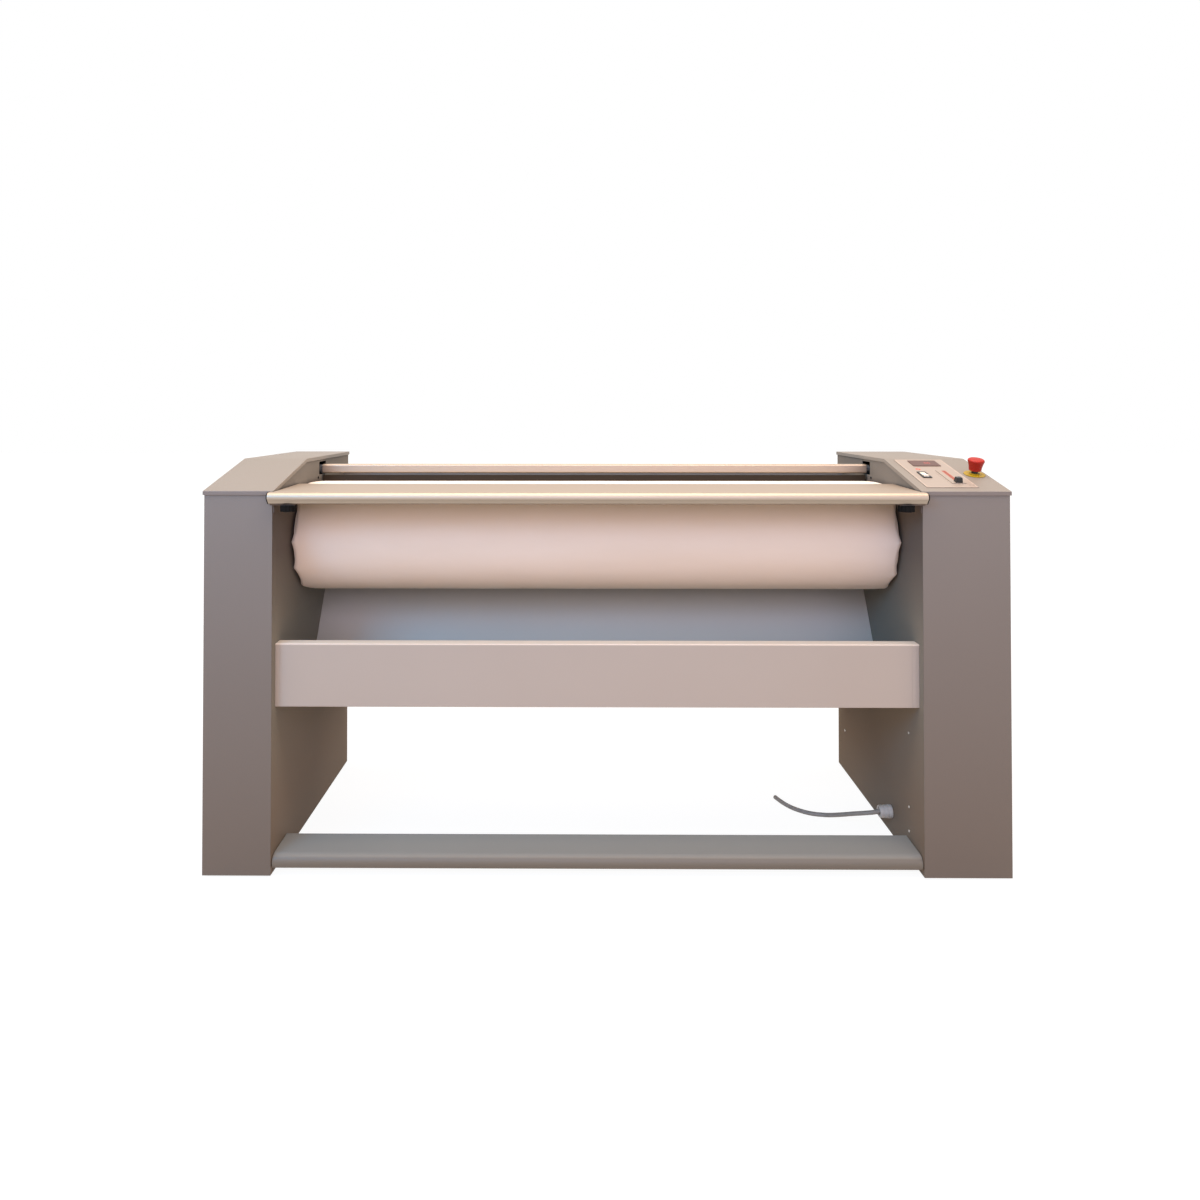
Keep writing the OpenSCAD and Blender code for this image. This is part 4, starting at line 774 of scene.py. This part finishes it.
# The display is a smoked acrylic window. Its three digits of seven bars glow a dull red on it.
smoked = mottled("smoked_acrylic_window", "#563a31", "#604338", patch=(0.02, 2), roughness=0.28, ior=1.49,
                 gloss_level=0.25)
seat(shaped_copy("display_window", rim=0.0004), smoked, "root", "display_red", "display_window")
digit_width = 0.0052
digit_height = 0.0100
digit_pitch = 0.0072
digits_x = 0.8711
digits_depth = 0.1990
window_top = plate_face + 0.0016
bar = 0.0011
bar_gap = 0.0003
bar_thickness = 0.00008
lit_bars = {"1": "bc", "8": "abcdefg", "0": "abcdef"}
bar_places = {"a": (0, 1), "b": (1, 0.5), "c": (1, -0.5), "d": (0, -1), "e": (-1, -0.5),
              "f": (-1, 0.5), "g": (0, 0)}
bars = []
for k, digit in enumerate("180"):
    for letter in lit_bars[digit]:
        across, up = bar_places[letter]
        size = (bar, digit_height / 2 - bar_gap) if letter in "bcef" else (digit_width - bar - bar_gap, bar)
        place = on_lid(digits_x + digit_pitch * k + across * (digit_width - bar) / 2,
                       digits_depth + up * (digit_height - bar) / 2, window_top)
        bars.append(raised("bar_%d%s" % (k, letter), *size, thickness=bar_thickness, corner=0.0003,
                           place=place, turn=slope))
glowing = mottled("dull_red_digits", "#b4473e", "#a43d36", patch=(0.003, 2), roughness=0.3)
shader = glowing.node_tree.nodes["Principled BSDF"]
red_tint = shader.inputs["Base Color"].links[0].from_socket
glowing.node_tree.links.new(red_tint, shader.inputs["Emission Color"])
shader.inputs["Emission Strength"].default_value = 0.25
seat(joined("display_digits", bars), glowing, "root", "display_red")

# The rocker is an ivory cap that is hollowed to a shallow V, in a black snap-in bezel.
black_gloss = moulded("black_switch_plastic", "#141415", "#1c1c1d", roughness=0.35, grain_size=0.001)
seat(shaped_copy("rocker_bezel", rim=0.0005), black_gloss, "root", "black_plastic", "rocker_bezel")
ivory = moulded("ivory_switch_plastic", "#f3e9d6", "#ece0cb", roughness=0.4, grain_size=0.002)
rocker = shaped_copy("rocker_button")
rocker_low, rocker_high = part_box("rocker_button")
rocker_middle = (rocker_low + rocker_high) / 2
rocker_dip = 0.0014
only(rocker)
bpy.ops.object.mode_set(mode="EDIT")
bpy.ops.mesh.select_all(action="SELECT")
bpy.ops.mesh.bisect(plane_co=rocker_middle, plane_no=lid_way)
bpy.ops.mesh.select_mode(type="VERT")
bpy.ops.mesh.select_all(action="DESELECT")
shape = bmesh.from_edit_mesh(rocker.data)
for vertex in shape.verts:
    if abs((vertex.co - rocker_middle) @ lid_way) < 0.0005 and vertex.co.z > rocker_middle.z:
        vertex.select_set(True)
bmesh.update_edit_mesh(rocker.data)
bpy.ops.transform.translate(value=-rocker_dip * lid_up)
bpy.ops.mesh.select_mode(type="EDGE")
bpy.ops.mesh.select_all(action="SELECT")
bpy.ops.mesh.bevel(offset=0.0006, segments=2, profile=0.5, clamp_overlap=True)
bpy.ops.object.mode_set(mode="OBJECT")
smooth(rocker, 35)
seat(rocker, ivory, "rocker", "pale_plastic", "rocker_button")

# The slide regulator has a thin steel lever between two red dust lips that lie on its bezel along the
# slot, and a black push-on knob. The knob's stem is drawn in to the lever's width.
regulator_x = 0.8975
slot_middle = 0.0945
lip_width = 0.0046
lip_length = 0.0910
lip_thickness = 0.00016
bezel_top = plate_face + 0.00143
lever_width = 0.0012
stem_width = 0.0044
knob_foot = plate_face + 0.0018
lips = [raised("dust_lip_%d" % k, lip_width, lip_length, thickness=lip_thickness, corner=0.0002,
               place=on_lid(regulator_x + side * (lip_width + lever_width) / 2, slot_middle, bezel_top),
               turn=slope) for k, side in enumerate((-1, 1))]
lip_rubber = moulded("red_lip_rubber", "#a8604f", "#9c5545", roughness=0.6, grain_size=0.001)
seat(joined("regulator_lips", lips), lip_rubber, "root", "panel_film")
knob = shaped_copy("slider_knob")
only(knob)
bpy.ops.object.mode_set(mode="EDIT")
bpy.ops.mesh.select_mode(type="VERT")
bpy.ops.mesh.select_all(action="DESELECT")
shape = bmesh.from_edit_mesh(knob.data)
for vertex in shape.verts:
    height = (vertex.co - on_lid(regulator_x, slot_middle, 0)) @ lid_up
    if abs(vertex.co.x - regulator_x) < stem_width / 2 + 0.0002 and height < knob_foot:
        vertex.select_set(True)
bmesh.update_edit_mesh(knob.data)
bpy.ops.transform.resize(value=(lever_width / stem_width, 1, 1), center_override=(regulator_x, 0, 0))
bpy.ops.object.mode_set(mode="OBJECT")
smooth(knob, 35)
seat(knob, black_gloss, "slider", "black_plastic", "slider_knob")

# The emergency stop: a yellow disc with a raised ring round its neck, and a ribbed red mushroom head.
estop_x = joints["estop_twist"]["pos_m"][0]
estop_depth = 0.118
neck_radius = 0.0124
neck_round = 0.0012
neck_height = 0.0030
yellow = moulded("yellow_polycarbonate", "#b09117", "#a58712", roughness=0.45, grain_size=0.0015,
                 gloss_level=0.3)
seat(shaped_copy("estop_base", rim=0.0004, degrees=30), yellow, "root", "estop_yellow", "estop_base")
bpy.ops.object.select_all(action="DESELECT")
bpy.ops.mesh.primitive_torus_add(major_segments=48, minor_segments=10, major_radius=neck_radius,
                                 minor_radius=neck_round)
ring = bpy.context.object
ring.name = ring.data.name = "estop_neck_ring"
bpy.ops.object.mode_set(mode="EDIT")
bpy.ops.mesh.select_all(action="SELECT")
bpy.ops.transform.resize(value=(1, 1, 0.85), center_override=(0, 0, 0))
bpy.ops.object.mode_set(mode="OBJECT")
put(ring, on_lid(estop_x, estop_depth, neck_height), slope)
smooth(ring, 60)
seat(ring, yellow, "root", "estop_yellow")
finish_node(black_gloss, "estop_stem")
head_foot = 0.012
cap_radius = 0.0156
cap_height = 0.0256
cap_round = 0.0049
head_sides = 72
rib_draw = 0.955
rib_pitch = 3
head_steps = [(0.0078, 0.0062), (0.0083, 0.0060), (0.0083, 0.0001), (0.0148, 0.0001), (0.0152, 0.0006),
              (0.0155, 0.0040), (0.0160, 0.0096), (0.0176, 0.0160), (0.0193, 0.0222)]
head_steps += [(cap_radius + cap_round * math.cos(math.radians(a)),
                cap_height + cap_round * math.sin(math.radians(a)))
               for a in (-26, -10, 6, 22, 38, 54, 72, 88)]
head_steps += [(0.0110, 0.0310), (0.0060, 0.0316), (0.0006, 0.0318)]
head = turned("estop_head_ribbed", head_steps, head_sides)
bpy.ops.object.mode_set(mode="EDIT")
bpy.ops.mesh.select_mode(type="VERT")
bpy.ops.mesh.select_all(action="DESELECT")
shape = bmesh.from_edit_mesh(head.data)
for vertex in shape.verts:
    column = round(math.atan2(vertex.co.y, vertex.co.x) / math.tau * head_sides)
    if column % rib_pitch == 0 and vertex.co.xy.length > 0.0154 and 0.003 < vertex.co.z < 0.027:
        vertex.select_set(True)
bmesh.update_edit_mesh(head.data)
bpy.ops.transform.resize(value=(rib_draw, rib_draw, 1), center_override=(0, 0, 0))
bpy.ops.object.mode_set(mode="OBJECT")
put(head, on_lid(estop_x, estop_depth, head_foot), slope)
smooth(head, 50)
red = moulded("red_polycarbonate", "#a51e0d", "#9b1a0a", roughness=0.45, grain_size=0.0012,
              gloss_level=0.3)
seat(head, red, "estop_head", "estop_red", "estop_head")

# Screws
# Pan-head machine screws hold the inner walls to the frames and the rear panels to the walls: zinc
# plated on the right wall and at the back, blackened beside the guard's slots.
screw_steps = [(0.00235, -0.0050), (0.00245, -0.0046), (0.00245, 0.0003), (0.0033, 0.0003),
               (0.0036, 0.0008), (0.0034, 0.0016), (0.0026, 0.0021), (0.0016, 0.0022), (0.0014, 0.0012),
               (0.0005, 0.0009)]
left_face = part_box("left_inner_wall")[1].x
back_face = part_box("housing_rear_panels")[1].y
face_right = (0, math.pi / 2, 0)
face_left = (0, -math.pi / 2, 0)
face_back = (-math.pi / 2, 0, 0)


def screws(name, places, turn):
    """Copies of one pan-head screw, as one piece."""
    made = [turned(name, screw_steps, 18)]
    for k in range(1, len(places)):
        made.append(bpy.data.objects.new(name + "_%d" % k, made[0].data.copy()))
        bpy.context.collection.objects.link(made[-1])
    for screw, place in zip(made, places):
        put(screw, place, turn)
    piece = joined(name, made)
    smooth(piece, 35)
    return piece


zinc = turned_steel("zinc_plated_screws", "#c9c4bc", roughness=0.4, ring_mm=1.0)
blackened = turned_steel("blackened_steel_screws", "#3a3836", roughness=0.5, ring_mm=1.0)
right_wall = [(wall_face, front_y + depth, z) for depth, z in
              ((0.090, 0.326), (0.090, 0.136), (0.090, 0.074), (0.583, 0.136), (0.583, 0.326))]
seat(screws("right_wall_screws", right_wall, face_left), zinc, "root", "bright_steel", "wall_screws")
guard_place = (front_y + 0.347, 0.9615)
seat(screws("right_guard_screw", [(wall_face, *guard_place)], face_left), blackened, "root",
     "dark_steel", "wall_screws")
seat(screws("left_guard_screw", [(left_face, *guard_place)], face_right), blackened, "root",
     "dark_steel", "wall_screws")
rear = [(x, back_face, z) for z in (0.055, 0.413, 0.809) for x in (-0.844, -0.972, 0.798, 0.972)]
seat(screws("rear_panel_screws", rear, face_back), zinc, "root", "bright_steel")

# Floor, world and lamps
# A pale studio sweep: white where the camera and reflections see it, with the object's faint shadow,
# and a warm floor that throws some light back up under the machine.


def seen_share(surface):
    """1 for rays from the camera, from a reflection or through a clear piece, and 0 for the others."""
    rays = add_node(surface, "LightPath", {}, {})
    share = rays.outputs["Is Camera Ray"]
    for kind in ("Is Glossy Ray", "Is Transmission Ray"):
        either = add_node(surface, "Math", {"operation": "MAXIMUM"}, {0: share, 1: rays.outputs[kind]})
        share = either.outputs[0]
    return share


bpy.ops.object.select_all(action="DESELECT")
bpy.ops.mesh.primitive_plane_add(size=40, location=(0, 0, 0))
floor = bpy.context.object
floor.name = "floor"
sweep, shader = new_material("studio_floor")
shader.inputs["Base Color"].default_value = tone("#cfb193")
shader.inputs["Roughness"].default_value = 0.9
shader.inputs["Specular IOR Level"].default_value = 0
where = add_node(sweep, "TexCoord", {}, {}).outputs["Object"]
away = add_node(sweep, "VectorMath", {"operation": "LENGTH"}, {0: where})
strength = add_node(sweep, "MapRange", {1: 1.3, 2: 3.0, 3: 0.93, 4: 1.0}, {0: away.outputs["Value"]})
glow = add_node(sweep, "Emission", {"Color": (1, 1, 1, 1)}, {"Strength": strength.outputs[0]})
veil = add_node(sweep, "BsdfDiffuse", {"Color": (0.14, 0.14, 0.14, 1)}, {})
white = add_node(sweep, "AddShader", {}, {0: glow.outputs[0], 1: veil.outputs[0]})
mixed = add_node(sweep, "MixShader", {}, {0: seen_share(sweep), 1: shader.outputs[0], 2: white.outputs[0]})
sweep.node_tree.links.new(mixed.outputs[0], sweep.node_tree.nodes["Material Output"].inputs["Surface"])
floor.data.materials.append(sweep)

world = bpy.data.worlds.new("studio")
bpy.context.scene.world = world
world.use_nodes = True
ambient = add_node(world, "Background", {"Color": tone("#fff4e4"), "Strength": 0.775}, {})
sky = add_node(world, "Background", {"Color": (1, 1, 1, 1), "Strength": 1.0}, {})
mixed = add_node(world, "MixShader", {}, {0: seen_share(world), 1: ambient.outputs[0], 2: sky.outputs[0]})
world.node_tree.links.new(mixed.outputs[0], world.node_tree.nodes["World Output"].inputs["Surface"])

lamps = {
    "overhead_softbox": ((0.0, -0.6, 3.4), (0, 0, 0), (4.0, 2.6), 138, "#ffe9da"),
    "front_softbox": ((0.3, -4.2, 2.2), (math.radians(68), 0, 0), (4.0, 2.4), 63, "#e2d6ff"),
    "window_light": ((-2.2, -2.8, 2.6), (math.radians(62.5), 0, math.radians(-44)), (1.4, 1.4), 50,
                     "#18b6ff"),
}
for name, (place, turn, size, power, colour) in lamps.items():
    data = bpy.data.lights.new(name, "AREA")
    data.shape = "RECTANGLE"
    data.size, data.size_y = size
    data.energy = power
    data.color = tone(colour)[:3]
    lamp = bpy.data.objects.new(name, data)
    lamp.location = place
    lamp.rotation_euler = turn
    bpy.context.collection.objects.link(lamp)
